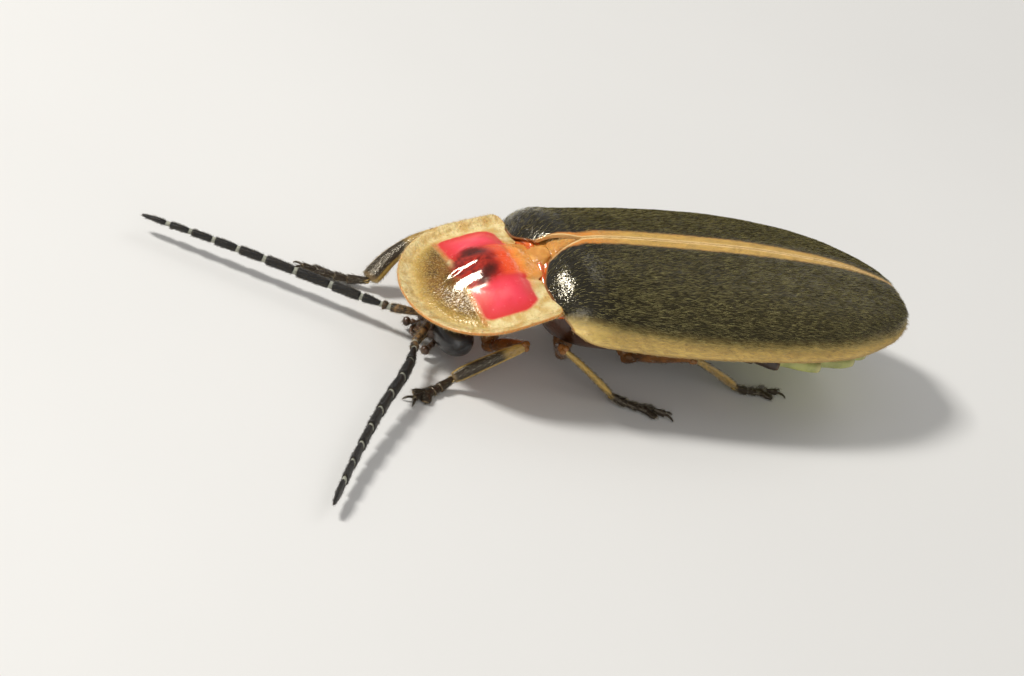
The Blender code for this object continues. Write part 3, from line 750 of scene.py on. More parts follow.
def hair_share(points, faces):
    """Hairs grow on the outer face only, thinner along the seam and on the glossy root."""
    outer = faces[:, 2] > 0.02 - 0.5 * (np.abs(points[:, 1]) > 0.9)
    return outer * (0.35 + 0.65 * smooth(0.25, 0.5, np.abs(points[:, 1]))) * (
        0.25 + 0.75 * smooth(0.0, 1.5, points[:, 0]))


class FIREFLY_OT_wing_covers(Operator):
    """Makes both wing covers and their coat of short hairs"""
    bl_idname = "firefly.wing_covers"
    bl_label = "Wing covers"

    def execute(self, context):
        shell = cover_finish()
        gold = tint("shell_hair")
        coat = hair_finish("shell_hair", scaled(gold, 0.06), gold)
        for number, (word, side) in enumerate(SIDES.items()):
            cover = wing_cover("wing_cover_" + word, side)
            wear(cover, shell)
            for half in (1, 2):
                places = scatter(cover, sizes().cover_hairs, 10 * number + half, hair_share)
                down = hairs(f"wing_cover_hairs_{word}_{half}", places, mm(sizes().cover_hair),
                             *COATS["cover"])
                wear(down, coat)
                finish_piece(down, "elytra")
            finish_piece(cover, "elytra", "elytron_" + word)
        return {"FINISHED"}


# Shield: s runs forward from its hind edge down the slope, y across, h square to it

SHIELD_LENGTH = 2.92
SHIELD_FRONT = 2.9174           # the last row, where the outline is all but straight
SHIELD_HALF_WIDTH = 2.00
SHIELD_STRAIGHT = 1.197         # s at which the sides start to turn in
SHIELD_OVAL = 2.06              # squareness of the outline before that, where 2 is a plain oval
SHIELD_PITCH = radians(21.7)
SHIELD_HINGE = (-0.27, 2.18)    # x and z of the hind edge's middle
SHIELD_DOME = 0.50
SHIELD_WALL = 0.09
SHIELD_GRID = (210, 210)

# From the middle to the side: how far the hind edge reaches forward in mm
HIND_EDGE = ((0.0, -0.02), (0.26, -0.03), (0.315, 0.02), (0.345, 0.12), (0.38, 0.07), (0.50, 0.06),
             (0.68, 0.01), (0.85, -0.01), (0.93, 0.05), (0.98, 0.15), (1.0, 0.26))

PATCH_PLACE = (1.00, 0.98)      # s and y of the middle of each red patch
PATCH_HALF = (0.66, 0.50)
SPOT_PLACE = (1.38, 0.0)        # the dark centre
SPOT_HALF = (0.55, 0.62)
ARCH_PLACE = (1.48, 0.0)        # middle and radius of the dark arch round the centre
ARCH_RADIUS = 0.50
DISC_FRONT = 1.70               # where the raised disc ends and the clear horn begins


def on_shield(s, y, h):
    return np.stack([SHIELD_HINGE[0] - s * cos(SHIELD_PITCH) - h * sin(SHIELD_PITCH), y,
                     SHIELD_HINGE[1] - s * sin(SHIELD_PITCH) + h * cos(SHIELD_PITCH)], -1)


def shield_half_width(s):
    front = np.clip((s - SHIELD_STRAIGHT) / (SHIELD_LENGTH - SHIELD_STRAIGHT), 0, 0.9985)
    plain = 0.965 + 0.035 * np.minimum(s / SHIELD_STRAIGHT, 1)
    return SHIELD_HALF_WIDTH * plain * (1 - front ** SHIELD_OVAL) ** (1 / SHIELD_OVAL)


def shield_edge(s, y):
    """About how far it is to the shield's margin."""
    side = shield_half_width(np.minimum(s, SHIELD_STRAIGHT)) - np.abs(y)
    ahead = np.maximum((s - SHIELD_STRAIGHT) / (SHIELD_LENGTH - SHIELD_STRAIGHT), 0)
    across = np.abs(y) / SHIELD_HALF_WIDTH
    share = (ahead ** SHIELD_OVAL + across ** SHIELD_OVAL) ** (1 / SHIELD_OVAL)
    slanted = np.hypot(s - SHIELD_STRAIGHT, y) * (1 / np.maximum(share, 0.05) - 1)
    return np.where(s < SHIELD_STRAIGHT, side, slanted)


def patch_depth(s, y):
    """Distance inside the outline of a red patch, which is rounder at its outer hind corner."""
    along_s = (s - PATCH_PLACE[0]) / PATCH_HALF[0]
    across = (np.abs(y) - PATCH_PLACE[1]) / PATCH_HALF[1]
    power = 7 - 4.2 * smooth(0.0, 0.7, across) * smooth(0.0, 0.7, -along_s)
    share = (np.abs(along_s) ** power + np.abs(across) ** power) ** (1 / power)
    return (1 - share) * np.minimum(*PATCH_HALF)


def shield_rise(s, y):
    edge, out = shield_edge(s, y), np.abs(y)
    reach = np.hypot((s - 0.95) / 1.60, y / 1.50)
    dome = SHIELD_DOME * (1 - smooth(0.0, 1.0, reach))
    ds, dy = s - 1.55, out - 0.40
    flat = np.exp(-((ds * 0.87 - dy * 0.50) / 0.46) ** 4 - ((ds * 0.50 + dy * 0.87) / 0.20) ** 4)
    dome = dome * (1 - flat) + flat * (0.28 - 0.37 * ds - 0.27 * dy)
    inside = np.minimum(s - 0.34, 1.48 - out)
    cushion = 0.08 * smooth(-0.20, 0.42, inside) * smooth(0.35, 1.05, out) * (1 - smooth(1.58, 2.25, s))
    cushion = cushion + 0.035 * bell(np.hypot(s - 0.85, out - 1.02), 0.45)
    groove = -0.045 * bell(y, 0.07) * smooth(0.1, 0.4, s) * (1 - smooth(0.7, 1.0, s))
    furrow = -0.040 * bell(y, 0.10) * smooth(1.05, 1.3, s) * (1 - smooth(1.75, 2.1, s))
    hind_bumps = 0.05 * bell(s - 0.26, 0.11) * bell(out - 0.22, 0.15)
    fold = -0.03 * bell(s - 0.46, 0.06) * bell(y, 0.5)
    upturn = 0.05 * (1 - smooth(0.02, 0.28, edge)) - 0.03 * bell(edge - 0.30, 0.12)
    roll = -0.05 * (1 - np.sqrt(np.clip(1 - (1 - np.clip(edge / 0.05, 0, 1)) ** 2, 0, 1)))
    return 0.06 + dome + cushion + groove + furrow + hind_bumps + fold + upturn + roll


def shield_skin():
    def place(a, b):
        s = SHIELD_FRONT * (1 - (1 - a) ** 1.5)
        across = 2 * b - 1
        across = across * (1.25 - 0.25 * np.abs(across))
        return s, across * shield_half_width(s), np.abs(across)

    def shape(a, b):
        s, y, out = place(a, b)
        return on_shield(s + along(HIND_EDGE, out) * (1 - smooth(0.0, 0.65, s)), y, shield_rise(s, y))
    obj, a, b = sheet("shield", *SHIELD_GRID, shape)
    s, y, _ = place(a, b)
    points = beetle_points(obj)
    rough = smooth(0.0, 0.25, shield_edge(s, y)) * (1 - smooth(-0.1, 0.1, patch_depth(s, y)))
    rough = rough * (1 - bell(np.hypot(s - 1.3, y), 0.5))
    points[:, 2] += ripple(points, 0.22, 8) * 0.006 * rough + ripple(points, 0.08, 9) * 0.004 * rough
    put(obj, points)
    wide = np.abs(y)
    ring = bell(np.hypot(s - ARCH_PLACE[0], y) - ARCH_RADIUS, 0.21) * (1 - smooth(1.30, 1.60, s))
    disc = smooth(0.10, 0.40, s) * (1 - smooth(1.58, 1.72, s)) * (1 - smooth(0.75, 1.05, wide))
    mark(obj, fore=s, edge=np.minimum(shield_edge(s, y), s + 0.02), red=patch_depth(s, y),
         spot=1 - np.hypot((s - SPOT_PLACE[0]) / SPOT_HALF[0], y / SPOT_HALF[1]),
         arch=ring * (0.45 + 0.55 * smooth(0.10, 0.38, wide)),
         warm=bell((s - 0.75) / 0.62, 1.0) * (1 - smooth(0.36, 0.74, wide)), disc=disc,
         hind=(1 - smooth(0.35, 0.75, s)) * (1 - smooth(0.35, 0.95, wide)),
         lie=unit(np.stack([-0.4 - 0.6 * (s - 1.2), y, -0.25 * np.ones(len(s))], 1)))
    apply(obj, "SOLIDIFY", thickness=SHIELD_WALL * MM, offset=-1.0, use_even_offset=False)
    soften(obj, radians(70))
    return obj


def shield_finish():
    f = Finish("shield_shell")
    fore, edge, spot, depth = (f.number(name) for name in ("fore", "edge", "spot", "red"))
    blur = f.waver(0.00025, 5, 0.16)
    both = f.plus(blur, f.waver(0.00006, 4, 0.08))
    cloudy = f.times(both, 2.4)
    ahead, inward, in_spot = f.plus(fore, blur), f.plus(edge, both), f.plus(spot, cloudy)
    gold = tint("gold")

    cream = f.mottle(tint("cream"), (0.66, 0.43, 0.14), 0.00022, 5, 0.35, 0.7)
    horn = f.mottle(tint("horn"), (0.060, 0.030, 0.006), 0.0004, 4, 0.38, 0.62, 0.7)
    # Golden specks in the clear horn are painted glints: sparkle of light painted into its colour, denser
    # near the margin.
    painted_glints = f.times(f.step(f.noise(0.000034, 3), 0.46, 0.66), f.step(edge, 0.5, 1.0, 0.65, 0.35))
    horn = f.blend(painted_glints, horn, gold)
    horn = f.blend(f.step(inward, 0.24, 0.75, 0.95, 0.0), horn, gold)
    in_front = f.times(f.step(ahead, DISC_FRONT - 0.06, DISC_FRONT + 0.10), f.step(inward, 0.14, 0.45))
    skin = f.blend(in_front, cream, horn)
    skin = f.blend(f.step(f.number("hind"), 0.1, 0.8), skin, (0.84, 0.34, 0.065))

    fire = f.blend(f.step(ahead, 0.28, 0.62), (0.86, 0.33, 0.06), (0.88, 0.090, 0.020))
    fire = f.blend(f.step(ahead, 0.68, 0.98), fire, (0.52, 0.015, 0.010))
    skin = f.blend(f.number("disc"), skin, fire)
    from_line = f.calc("ABSOLUTE", f.calc("SUBTRACT", fore, DISC_FRONT - 0.01))
    beside = f.times(f.step(edge, 0.25, 0.5), f.step(spot, -0.25, 0.0, 1.0, 0.0))
    skin = f.blend(f.times(f.step(from_line, 0.02, 0.09, 0.8, 0.0), beside), skin, (0.55, 0.18, 0.03))

    red = f.step(f.plus(depth, f.times(both, 0.30)), -0.035, 0.045)
    patch = f.blend(f.step(depth, 0.0, 0.34), tint("scarlet"), tint("red"))
    # Paler pink in the deep middle of each red patch is a painted highlight on its swollen top.
    patch = f.blend(f.step(depth, 0.30, 0.50, 0.0, 0.40), patch, (0.98, 0.17, 0.20))
    patch = f.mottle(patch, (0.78, 0.024, 0.040), 0.00026, 5, 0.45, 0.75, 0.55)
    patch = f.mottle(patch, (0.98, 0.26, 0.26), 0.00010, 3, 0.62, 0.78, 0.45)
    warm = f.step(f.plus(f.number("warm"), blur), 0.15, 0.80)
    skin = f.blend(f.times(red, f.step(warm, 0.0, 1.0, 1.0, 0.10)), skin, patch)

    deep = f.mottle((0.42, 0.024, 0.013), (0.17, 0.008, 0.006), 0.00018, 4, 0.4, 0.65)
    skin = f.blend(f.step(in_spot, -0.20, 0.42), skin, deep)
    skin = f.blend(f.step(f.plus(f.number("arch"), cloudy), 0.15, 1.0, 0.0, 0.85), skin, tint("spot"))
    past_disc = f.step(f.plus(fore, both), DISC_FRONT - 0.02, DISC_FRONT + 0.26)
    skin = f.blend(f.times(past_disc, f.step(spot, -0.8, -0.1)), skin, horn)
    skin = f.blend(f.step(edge, 0.010, 0.050, 0.9, 0.0), skin, (0.66, 0.23, 0.035))

    even = f.calc("MAXIMUM", red, f.step(spot, -0.25, 0.1))
    grain = f.grain((f.noise(0.00005, 2), 0.000016, f.step(even, 0.0, 1.0, 0.8, 0.05)),
                    (f.noise(0.00014, 4), 0.000030, f.step(even, 0.0, 1.0, 0.45, 0.10)))
    rough = f.times(f.step(red, 0.0, 1.0, 0.26, 0.42), f.step(in_spot, -0.35, 0.25, 1.0, 0.34))
    f.shader.subsurface_method = "RANDOM_WALK"
    return f.set(Base_Color=skin, Roughness=rough, Normal=grain, Subsurface_Weight=0.20,
                 Subsurface_Radius=(1.0, 0.45, 0.2), Subsurface_Scale=0.00010, Coat_Weight=0.20,
                 Coat_Roughness=0.14, Coat_Normal=grain, Specular_IOR_Level=0.6,
                 Specular_Tint=(1.0, 0.90, 0.70))


class FIREFLY_OT_shield(Operator):
    """Makes the broad shield over the head, with its fine hairs"""
    bl_idname = "firefly.shield"
    bl_label = "Shield"

    def execute(self, context):
        obj = shield_skin()
        wear(obj, shield_finish())

        def thin(points, faces):
            s = (SHIELD_HINGE[0] - points[:, 0]) / cos(SHIELD_PITCH)
            inward = shield_edge(np.clip(s, 0, SHIELD_LENGTH), points[:, 1])
            bare = np.maximum(smooth(-0.10, 0.02, patch_depth(s, points[:, 1])),
                              bell(np.hypot(s - 1.2, points[:, 1]), 0.7) > 0.4)
            return (faces[:, 2] > 0.15) * (1 - bare) * (0.10 + 0.90 * (1 - smooth(0.05, 0.5, inward)))
        places = scatter(obj, sizes().shield_hairs, 31, thin)
        coat = hairs("shield_hairs", places, mm(sizes().shield_hair), *COATS["shield"])
        wear(coat, hair_finish("shield_hair", (0.62, 0.44, 0.17), (0.95, 0.85, 0.55)))
        finish_piece(obj, "pronotum", "pronotum")
        finish_piece(coat, "pronotum")
        return {"FINISHED"}


# Scutellum and the collar in front of it

SCUTELLUM_PLATES = (            # start and end in x, half widths, low and high z, tip's drop, wall
    (-0.02, 0.60, ((0, 0.27), (0.12, 0.31), (0.5, 0.20), (0.9, 0.05), (1, 0.02)), 2.60, 2.86, 0.10, 0.12),
    (-0.46, 0.03, ((0, 0.34), (0.5, 0.36), (1, 0.26)), 2.33, 2.56, 0.10, 0.16),
    (-0.34, 1.30, ((0, 0.80), (0.5, 0.66), (1, 0.50)), 2.28, 2.84, 0.0, 0.10))
FOLDS = ((-0.02, 0.36, 2.42, 0.085), (-0.14, 0.42, 2.36, 0.095), (-0.27, 0.46, 2.27, 0.085))


def scutellum_skin():
    """The small hairy triangle, the amber plate before it, and the soft ground under both."""
    pieces = []
    for start, end, half, low, high, tip, wall in SCUTELLUM_PLATES:
        def shape(a, b):
            side = 2 * b - 1
            z = low + (high - low) * np.sin(a * pi / 2) + 0.07 * (1 - side ** 2)
            z = z - 0.12 * smooth(0.60, 1.0, np.abs(side)) - 0.05 * (1 - smooth(0.0, 0.12, a))
            return np.stack([start + (end - start) * a, side * along(half, a),
                             z - tip * smooth(0.85, 1.0, a)], -1)
        piece, a, _ = sheet("scutellum_plate", 60, 40, shape)
        mark(piece, lie=np.tile((1.0, 0.0, 0.2), (len(a), 1)), pale=np.ones(len(a)))
        apply(piece, "SOLIDIFY", thickness=wall * MM, offset=-1.0, use_even_offset=False)
        soften(piece)
        pieces.append(piece)
    return join("scutellum_plate", pieces)


def collar():
    """The soft orange folds that close the shield's hind edge to the wing covers' roots."""
    def shape(direction):
        points = rounded(direction, (-0.12, 0, 1.98), (0.30, 1.60, 0.28), 2.6)
        y = points[:, 1]
        points[:, 2] += 0.24 * bell(y, 0.60) * (direction[:, 2] > -0.2) * smooth(-0.2, 0.5, direction[:, 2])
        points[:, 2] += 0.025 * np.sin(points[:, 0] * 42 + 3 * np.abs(y)) * np.maximum(direction[:, 2], 0)
        points[:, 0] += 0.03 * np.sin(y * 5.0) * np.abs(direction[:, 0])
        return points
    pieces = [globe("collar", 96, 60, shape)]
    for side in (-1, 1):
        for fore, inner, high, wide in FOLDS:
            path = [(fore + 0.05, side * (inner - 0.12), high - 0.02), (fore, side * (inner + 0.08), high),
                    (fore - 0.03, side * (inner + 0.34), high - 0.10),
                    (fore - 0.05, side * (inner + 0.62), high - 0.24)]
            pieces.append(rod("fold", path, sized(((0, 0.5), (0.3, 1), (0.7, 1), (1, 0.5)), wide), None,
                              (1, 0, 0), 20, 24, 0.12))
    return join("collar", pieces)


def amber_finish(name, tone, second, rough=0.24):
    f = Finish(name)
    return f.set(Base_Color=f.mottle(tone, second, 0.0002, 5, 0.35, 0.7), Roughness=rough,
                 Normal=f.grain((f.noise(0.00007, 5), 0.000012, 0.5)), Coat_Weight=0.5,
                 Coat_Roughness=0.12, Subsurface_Weight=0.2, Subsurface_Radius=(1.0, 0.4, 0.15),
                 Subsurface_Scale=0.0001)


class FIREFLY_OT_scutellum(Operator):
    """Makes the small triangle between the wing covers' roots and the soft collar before it"""
    bl_idname = "firefly.scutellum"
    bl_label = "Scutellum"

    def execute(self, context):
        plate, fold = scutellum_skin(), collar()
        wear(plate, amber_finish("scutellum_shell", tint("amber"), (0.80, 0.40, 0.09)))

        def on_triangle(points, faces):
            x, z = points[:, 0], points[:, 2]
            return (z > 2.60) * (faces[:, 2] > 0.3) * (x < 0.62) * (x > -0.03)
        places = scatter(plate, 500, 41, on_triangle)
        down = hairs("scutellum_hairs", places, 0.10, *COATS["scutellum"])
        wear(down, hair_finish("scutellum_hair", (0.5, 0.3, 0.1), (0.8, 0.6, 0.3)))
        finish_piece(down, "scutellum")
        wear(fold, amber_finish("collar_skin", (0.76, 0.16, 0.025), (0.50, 0.065, 0.014), 0.16))
        finish_piece(plate, "scutellum", "scutellum")
        finish_piece(fold, "scutellum")
        return {"FINISHED"}


# Chest, belly and light organ

CHEST_STATIONS = (              # x: half width, half height, height of the middle line
    (-1.72, (0.10, 0.10, 0.98)), (-1.50, (0.34, 0.26, 1.06)), (-1.25, (0.62, 0.38, 1.24)),
    (-0.90, (0.92, 0.46, 1.42)), (-0.50, (0.98, 0.46, 1.56)), (-0.20, (0.88, 0.40, 1.62)),
    (0.05, (1.05, 0.46, 1.58)), (0.45, (1.42, 0.58, 1.46)), (1.10, (1.58, 0.62, 1.44)),
    (2.00, (1.58, 0.60, 1.44)), (2.60, (1.42, 0.52, 1.42)), (2.95, (1.10, 0.36, 1.40)))
CHEST_HIPS = (-0.95, 0.72, 2.24)        # x of the hollows in which the hips sit
CHEST_SEAMS = (0.02, 1.45, 2.62)
BELLY_RINGS = (2.70, 3.40, 4.10, 4.80, 5.50)    # x of the rings' ends
LAMP_RINGS = (5.50, 6.55, 7.60, 8.05, 8.88)
BELLY_HALF_WIDTH = 1.98
BELLY_WIDTHS = ((2.6, 0.60), (3.7, 0.72), (4.5, 0.86), (5.4, 0.98), (6.6, 0.98), (7.5, 0.86), (8.1, 0.68),
                (8.6, 0.48), (8.9, 0.22))
BELLY_MIDDLE = 1.27
BELLY_HALF_HEIGHT = 0.38


def chest_skin():
    def shape(direction):
        share, turn = length_and_turn(direction)
        low, high = CHEST_STATIONS[0][0], CHEST_STATIONS[-1][0]
        x = low + (high - low) * share
        wide, tall, middle = along(CHEST_STATIONS, x).T
        cap = round_end(share, 0.03)
        out, up = np.cos(turn), np.sin(turn)
        y = wide * cap * np.sign(out) * np.abs(out) ** 0.8
        z = middle + tall * cap * np.sign(up) * np.abs(up) ** 0.8
        under = smooth(0.0, 0.7, -up)
        for hips in CHEST_HIPS:
            z -= 0.16 * bell(x - hips, 0.34) * bell(np.abs(y) - 0.42, 0.30) * under
        for seam in CHEST_SEAMS:
            z += 0.05 * bell(x - seam, 0.05) * under
        z += 0.05 * bell(y, 0.04) * under * smooth(0.2, 0.6, x)
        return np.stack([x, y, z], -1)
    obj = globe("chest", 96, 140, shape)
    mark(obj, run=beetle_points(obj)[:, 0])
    return obj


def ring_place(rings, x):
    """Which ring each x lies in, and how far along it from 0 to 1."""
    number = np.clip(np.searchsorted(rings, x, side="right") - 1, 0, len(rings) - 2)
    start, end = np.array(rings)[number], np.array(rings)[number + 1]
    return number, (x - start) / (end - start)


def ring_skin(name, rings, notch):
    """Belly rings that each reach over the next, with their hind corners drawn out."""
    def shape(direction):
        share, turn = length_and_turn(direction)
        x = rings[0] + (rings[-1] - rings[0]) * share
        number, phase = ring_place(rings, x)
        before_last = number < len(rings) - 2
        out, up = np.cos(turn), np.sin(turn)
        step = 0.955 + 0.055 * smooth(0.0, 0.75, phase) - 0.050 * smooth(0.93, 1.0, phase) * before_last
        reach = along(BELLY_WIDTHS, x)
        cap = round_end(share, 0.02)
        wide = BELLY_HALF_WIDTH * reach * step * cap
        tall = BELLY_HALF_HEIGHT * (0.50 + 0.50 * reach) * step * cap
        corner = notch * smooth(0.70, 1.0, np.abs(out)) * smooth(0.55, 0.95, phase)
        flange = 1 + 0.05 * smooth(0.86, 1.0, np.abs(out)) * smooth(0.3, 0.9, phase)
        z = BELLY_MIDDLE + 0.12 * (1 - reach) + tall * np.sign(up) * np.abs(up) ** 0.85
        z += 0.10 * tall * smooth(0.80, 1.0, np.abs(out)) * (up > 0)
        return np.stack([x + corner * before_last, wide * flange * out, z], -1)
    obj = globe(name, 110, 46 * (len(rings) - 1), shape)
    points = beetle_points(obj)
    points[:, 2] += ripple(points, 0.6, 15) * 0.010
    put(obj, points)
    mark(obj, phase=ring_place(rings, points[:, 0])[1])
    return obj


def plate_finish(name, tone, hind_edge, soft, rough=0.38):
    """Belly plates: cloudy, finely wrinkled across, with a different hind edge."""
    f = Finish(name)
    skin = f.mottle(tone, scaled(tone, 0.66), 0.00035, 5, 0.35, 0.7)
    skin = f.blend(f.step(f.number("phase"), 0.80, 0.97), skin, hind_edge)
    grain = f.grain((f.noise(0.00016, 5, (2.4, 0.6, 1)), 0.000030, 0.5), (f.cells(0.00005), 0.000008, 0.4))
    return f.set(Base_Color=skin, Roughness=rough, Normal=grain, Coat_Weight=0.25, Coat_Roughness=0.2,
                 Subsurface_Weight=soft, Subsurface_Radius=(1.0, 0.8, 0.4), Subsurface_Scale=0.00015)


def chest_finish():
    f = Finish("chest_shell")
    skin = f.mottle(tint("chest"), scaled(tint("chest"), 0.6), 0.0004, 5, 0.35, 0.7)
    skin = f.blend(f.step(f.number("run"), -0.9, -0.3), tint("orange"), skin)
    grain = f.grain((f.cells(0.00007), 0.000014, 0.5), (f.noise(0.0002, 5), 0.00003, 0.4))
    return f.set(Base_Color=skin, Roughness=0.35, Normal=grain, Coat_Weight=0.4, Coat_Roughness=0.15)


class FIREFLY_OT_trunk(Operator):
    """Makes the chest, the dark belly rings and the pale light-organ rings"""
    bl_idname = "firefly.trunk"
    bl_label = "Chest and belly"

    def execute(self, context):
        chest = chest_skin()
        wear(chest, chest_finish())
        finish_piece(chest, "thorax", "prothorax", "thorax")
        belly = ring_skin("belly", BELLY_RINGS, 0.12)
        wear(belly, plate_finish("belly_shell", tint("belly"), (0.16, 0.085, 0.035), 0.05))
        finish_piece(belly, "abdomen", "abdomen")
        lamp = ring_skin("light_organ", LAMP_RINGS, 0.06)
        wear(lamp, plate_finish("lamp_skin", tint("lamp"), (0.56, 0.52, 0.22), 0.35, 0.42))
        finish_piece(lamp, "lantern", "lantern", "tail_segment")
        return {"FINISHED"}


# Head

HEAD_CENTRE = np.array((-1.86, 0.0, 0.68))
HEAD_HALF = np.array((0.50, 0.50, 0.40))
EYE_CENTRE = np.array((-1.91, 0.60, 0.67))
EYE_HALF = np.array((0.41, 0.56, 0.37))
SOCKET = np.array((-2.34, 0.17, 0.66))          # where the right feeler leaves the head
MUZZLE = HEAD_CENTRE + (-0.40, 0.0, -0.27)



# Paths of the mouthparts on the right: the jaw and small palp from the muzzle, the palp from the middle
JAW = ((0.02, 0.17, -0.03), (-0.14, 0.21, -0.09), (-0.24, 0.12, -0.14), (-0.27, 0.0, -0.17))
PALP = ((-0.18, 0.24, -0.30), (-0.28, 0.36, -0.38), (-0.38, 0.43, -0.42), (-0.47, 0.50, -0.45),
        (-0.62, 0.57, -0.50))
SMALL_PALP = ((0.08, 0.08, -0.08), (0.0, 0.12, -0.15), (-0.09, 0.14, -0.19), (-0.17, 0.15, -0.22))
PALP_JOINT = ((0, 0.045), (0.7, 0.065), (1, 0.055))
PALP_END = ((0, 0.055), (0.45, 0.105), (0.8, 0.085), (1, 0.03))
SMALL_JOINT = ((0, 0.032), (0.7, 0.045), (1, 0.036))
ACROSS = (0, 1, 0)


def head_case():
    def shape(direction):
        points = rounded(direction, HEAD_CENTRE, HEAD_HALF, 2.4)
        fore = smooth(0.1, 0.6, HEAD_CENTRE[0] - points[:, 0])
        above = direction[:, 2] > 0
        points[:, 2] -= 0.18 * fore
        points[:, 1] *= 1 - 0.18 * fore
        points[:, 2] -= 0.05 * bell(points[:, 1], 0.12) * fore * above
        points[:, 2] += 0.04 * bell(np.abs(points[:, 1]) - 0.20, 0.10) * fore * above
        points[:, 2] += 0.04 * bell(points[:, 1], 0.05) * smooth(0.3, 0.8, -direction[:, 2])
        return points
    return globe("head_case", 72, 48, shape)


def head_pieces():
    pieces = [
        head_case(),
        rod("neck", ((-1.30, 0, 1.06), (-1.52, 0, 0.94), (-1.74, 0, 0.82)),
            ((0, 0.34), (0.5, 0.30), (1, 0.36)), ((0, 0.24), (1, 0.24)), ACROSS, 32, 30),
        rod("face", MUZZLE + ((0.28, 0, 0.12), (0.04, 0, 0.02), (-0.13, 0, -0.08)),
            ((0, 0.22), (0.6, 0.25), (1, 0.20)), ((0, 0.12), (1, 0.07)), ACROSS, 32, 20),
        rod("lip", MUZZLE + ((-0.06, 0, -0.05), (-0.19, 0, -0.12)),
            ((0, 0.17), (0.7, 0.17), (1, 0.12)), ((0, 0.045), (1, 0.03)), ACROSS, 24, 14),
    ]
    for side in SIDES.values():
        flip = (1, side, 1)
        pieces.append(rod("socket", (SOCKET + ((0.10, 0, -0.02), (-0.05, 0.03, 0))) * flip,
                          ((0, 0.15), (0.75, 0.145), (1, 0.11)), None, ACROSS, 24, 14))
        pieces.append(rod("jaw", (MUZZLE + JAW) * flip, ((0, 0.070), (0.4, 0.055), (0.8, 0.030), (1, 0.012)),
                          ((0, 0.05), (1, 0.012)), ACROSS, 16, 24))
        palp = (HEAD_CENTRE + PALP) * flip
        for number, (start, end) in enumerate(zip(palp, palp[1:])):
            wide = PALP_END if number == len(PALP) - 2 else PALP_JOINT
            pieces.append(rod("palp", (start, (start + end) / 2, end + (end - start) * 0.06), wide, None,
                              ACROSS, 16, 16, 0.10))
        small = (MUZZLE + SMALL_PALP) * flip
        for start, end in zip(small, small[1:]):
            pieces.append(rod("small_palp", (start, (start + end) / 2, end), SMALL_JOINT, None,
                              ACROSS, 12, 12, 0.12))
    return pieces


def eye_globe(name, side):
    def shape(direction):
        return rounded(direction, EYE_CENTRE, EYE_HALF, 2.15) * (1, side, 1)
    return globe(name, 96, 64, shape)


def eye_finish():
    f = Finish("eye_shell")
    facets = f.cells(0.000024, 0.35)
    skin = f.blend(f.step(facets, 0.25, 0.60), tint("eye"), (0.020, 0.017, 0.016))
    grain = f.grain((f.calc("SUBTRACT", 1.0, facets), 0.000010, 0.8))
    return f.set(Base_Color=skin, Roughness=0.16, Normal=grain, Coat_Weight=0.6, Coat_Roughness=0.06)


def horn_finish(name, tone, second, rough=0.34, size=0.00012):
    f = Finish(name)
    grain = f.grain((f.cells(size * 0.4), size * 0.10, 0.6), (f.noise(size, 5), size * 0.2, 0.4))
    return f.set(Base_Color=f.mottle(tone, second, size * 2, 5, 0.35, 0.7), Roughness=rough,
                 Normal=grain, Coat_Weight=0.35, Coat_Roughness=0.15)


class FIREFLY_OT_head(Operator):
    """Makes the head's case with its jaws, palps and feeler sockets, and both eyes"""
    bl_idname = "firefly.head"
    bl_label = "Head and eyes"

    def execute(self, context):
        head = join("head_skin", head_pieces())
        wear(head, horn_finish("head_shell", tint("head"), (0.10, 0.045, 0.018)))
        places = scatter(head, 1500, 51, lambda points, faces: points[:, 0] < -1.7)
        coat = hairs("head_hairs", places, 0.070, *COATS["head"], (-0.3, 0, -0.2))
        wear(coat, hair_finish("head_hair", (0.20, 0.13, 0.06), (0.45, 0.32, 0.15)))
        finish_piece(head, "head", "head")
        finish_piece(coat, "head")
        facets = eye_finish()
        for word, side in SIDES.items():
            eye = eye_globe("eye_skin_" + word, side)
            wear(eye, facets)
            finish_piece(eye, "eyes", "eye_" + word)
        return {"FINISHED"}


# Feelers

FEELER_LENGTHS = (0.72, 0.26, 0.60, 0.62, 0.62, 0.61, 0.60, 0.60, 0.58, 0.56, 0.72)
FEELER_ROOT = np.array((-2.62, 0.26, 0.59))
FEELER_COURSES = {
    "right": (tuple(FEELER_ROOT), (-3.48, 0.95, 0.50), (-5.10, 2.12, 0.46), (-6.40, 3.02, 0.42),
              (-7.58, 3.82, 0.36)),
    "left": (tuple(FEELER_ROOT * (1, -1, 1)), (-3.40, -1.70, 0.62), (-4.60, -3.15, 0.52),
             (-5.72, -4.62, 0.38), (-6.86, -6.22, 0.30)),
}
JOINT_SHARES = (0.66, 0.62, 0.90, 1.0, 1.02, 1.0, 0.98, 0.95, 0.90, 0.84, 0.76)   # of the half width
JOINT_PROFILES = {              # half widths from end to end, as shares of the joint's own
    0: ((0, 0.50), (0.12, 0.58), (0.7, 0.92), (1, 0.85)),
    1: ((0, 0.72), (0.6, 1.0), (1, 0.95)),
    2: ((0, 0.55), (0.3, 0.72), (0.85, 1.02), (1, 1.0)),
    10: ((0, 0.92), (0.35, 1.0), (0.8, 0.72), (1, 0.34)),
}
PLAIN_PROFILE = ((0, 0.84), (0.15, 0.94), (0.85, 1.05), (1, 1.0))
PALE_BASES = (0.55, 0.30, 0.0)  # how pale the two base joints and the others are
BASE_JOINTS = 2
RING_GAP = 0.052                # length of the pale ring that shows between two joints
FEELER_FLAT = 0.62              # thickness over width near the head
FEELER_TILTS = {"right": (0.62, -0.75, 0.22), "left": (-0.50, -0.42, 0.75)}   # directions of their width


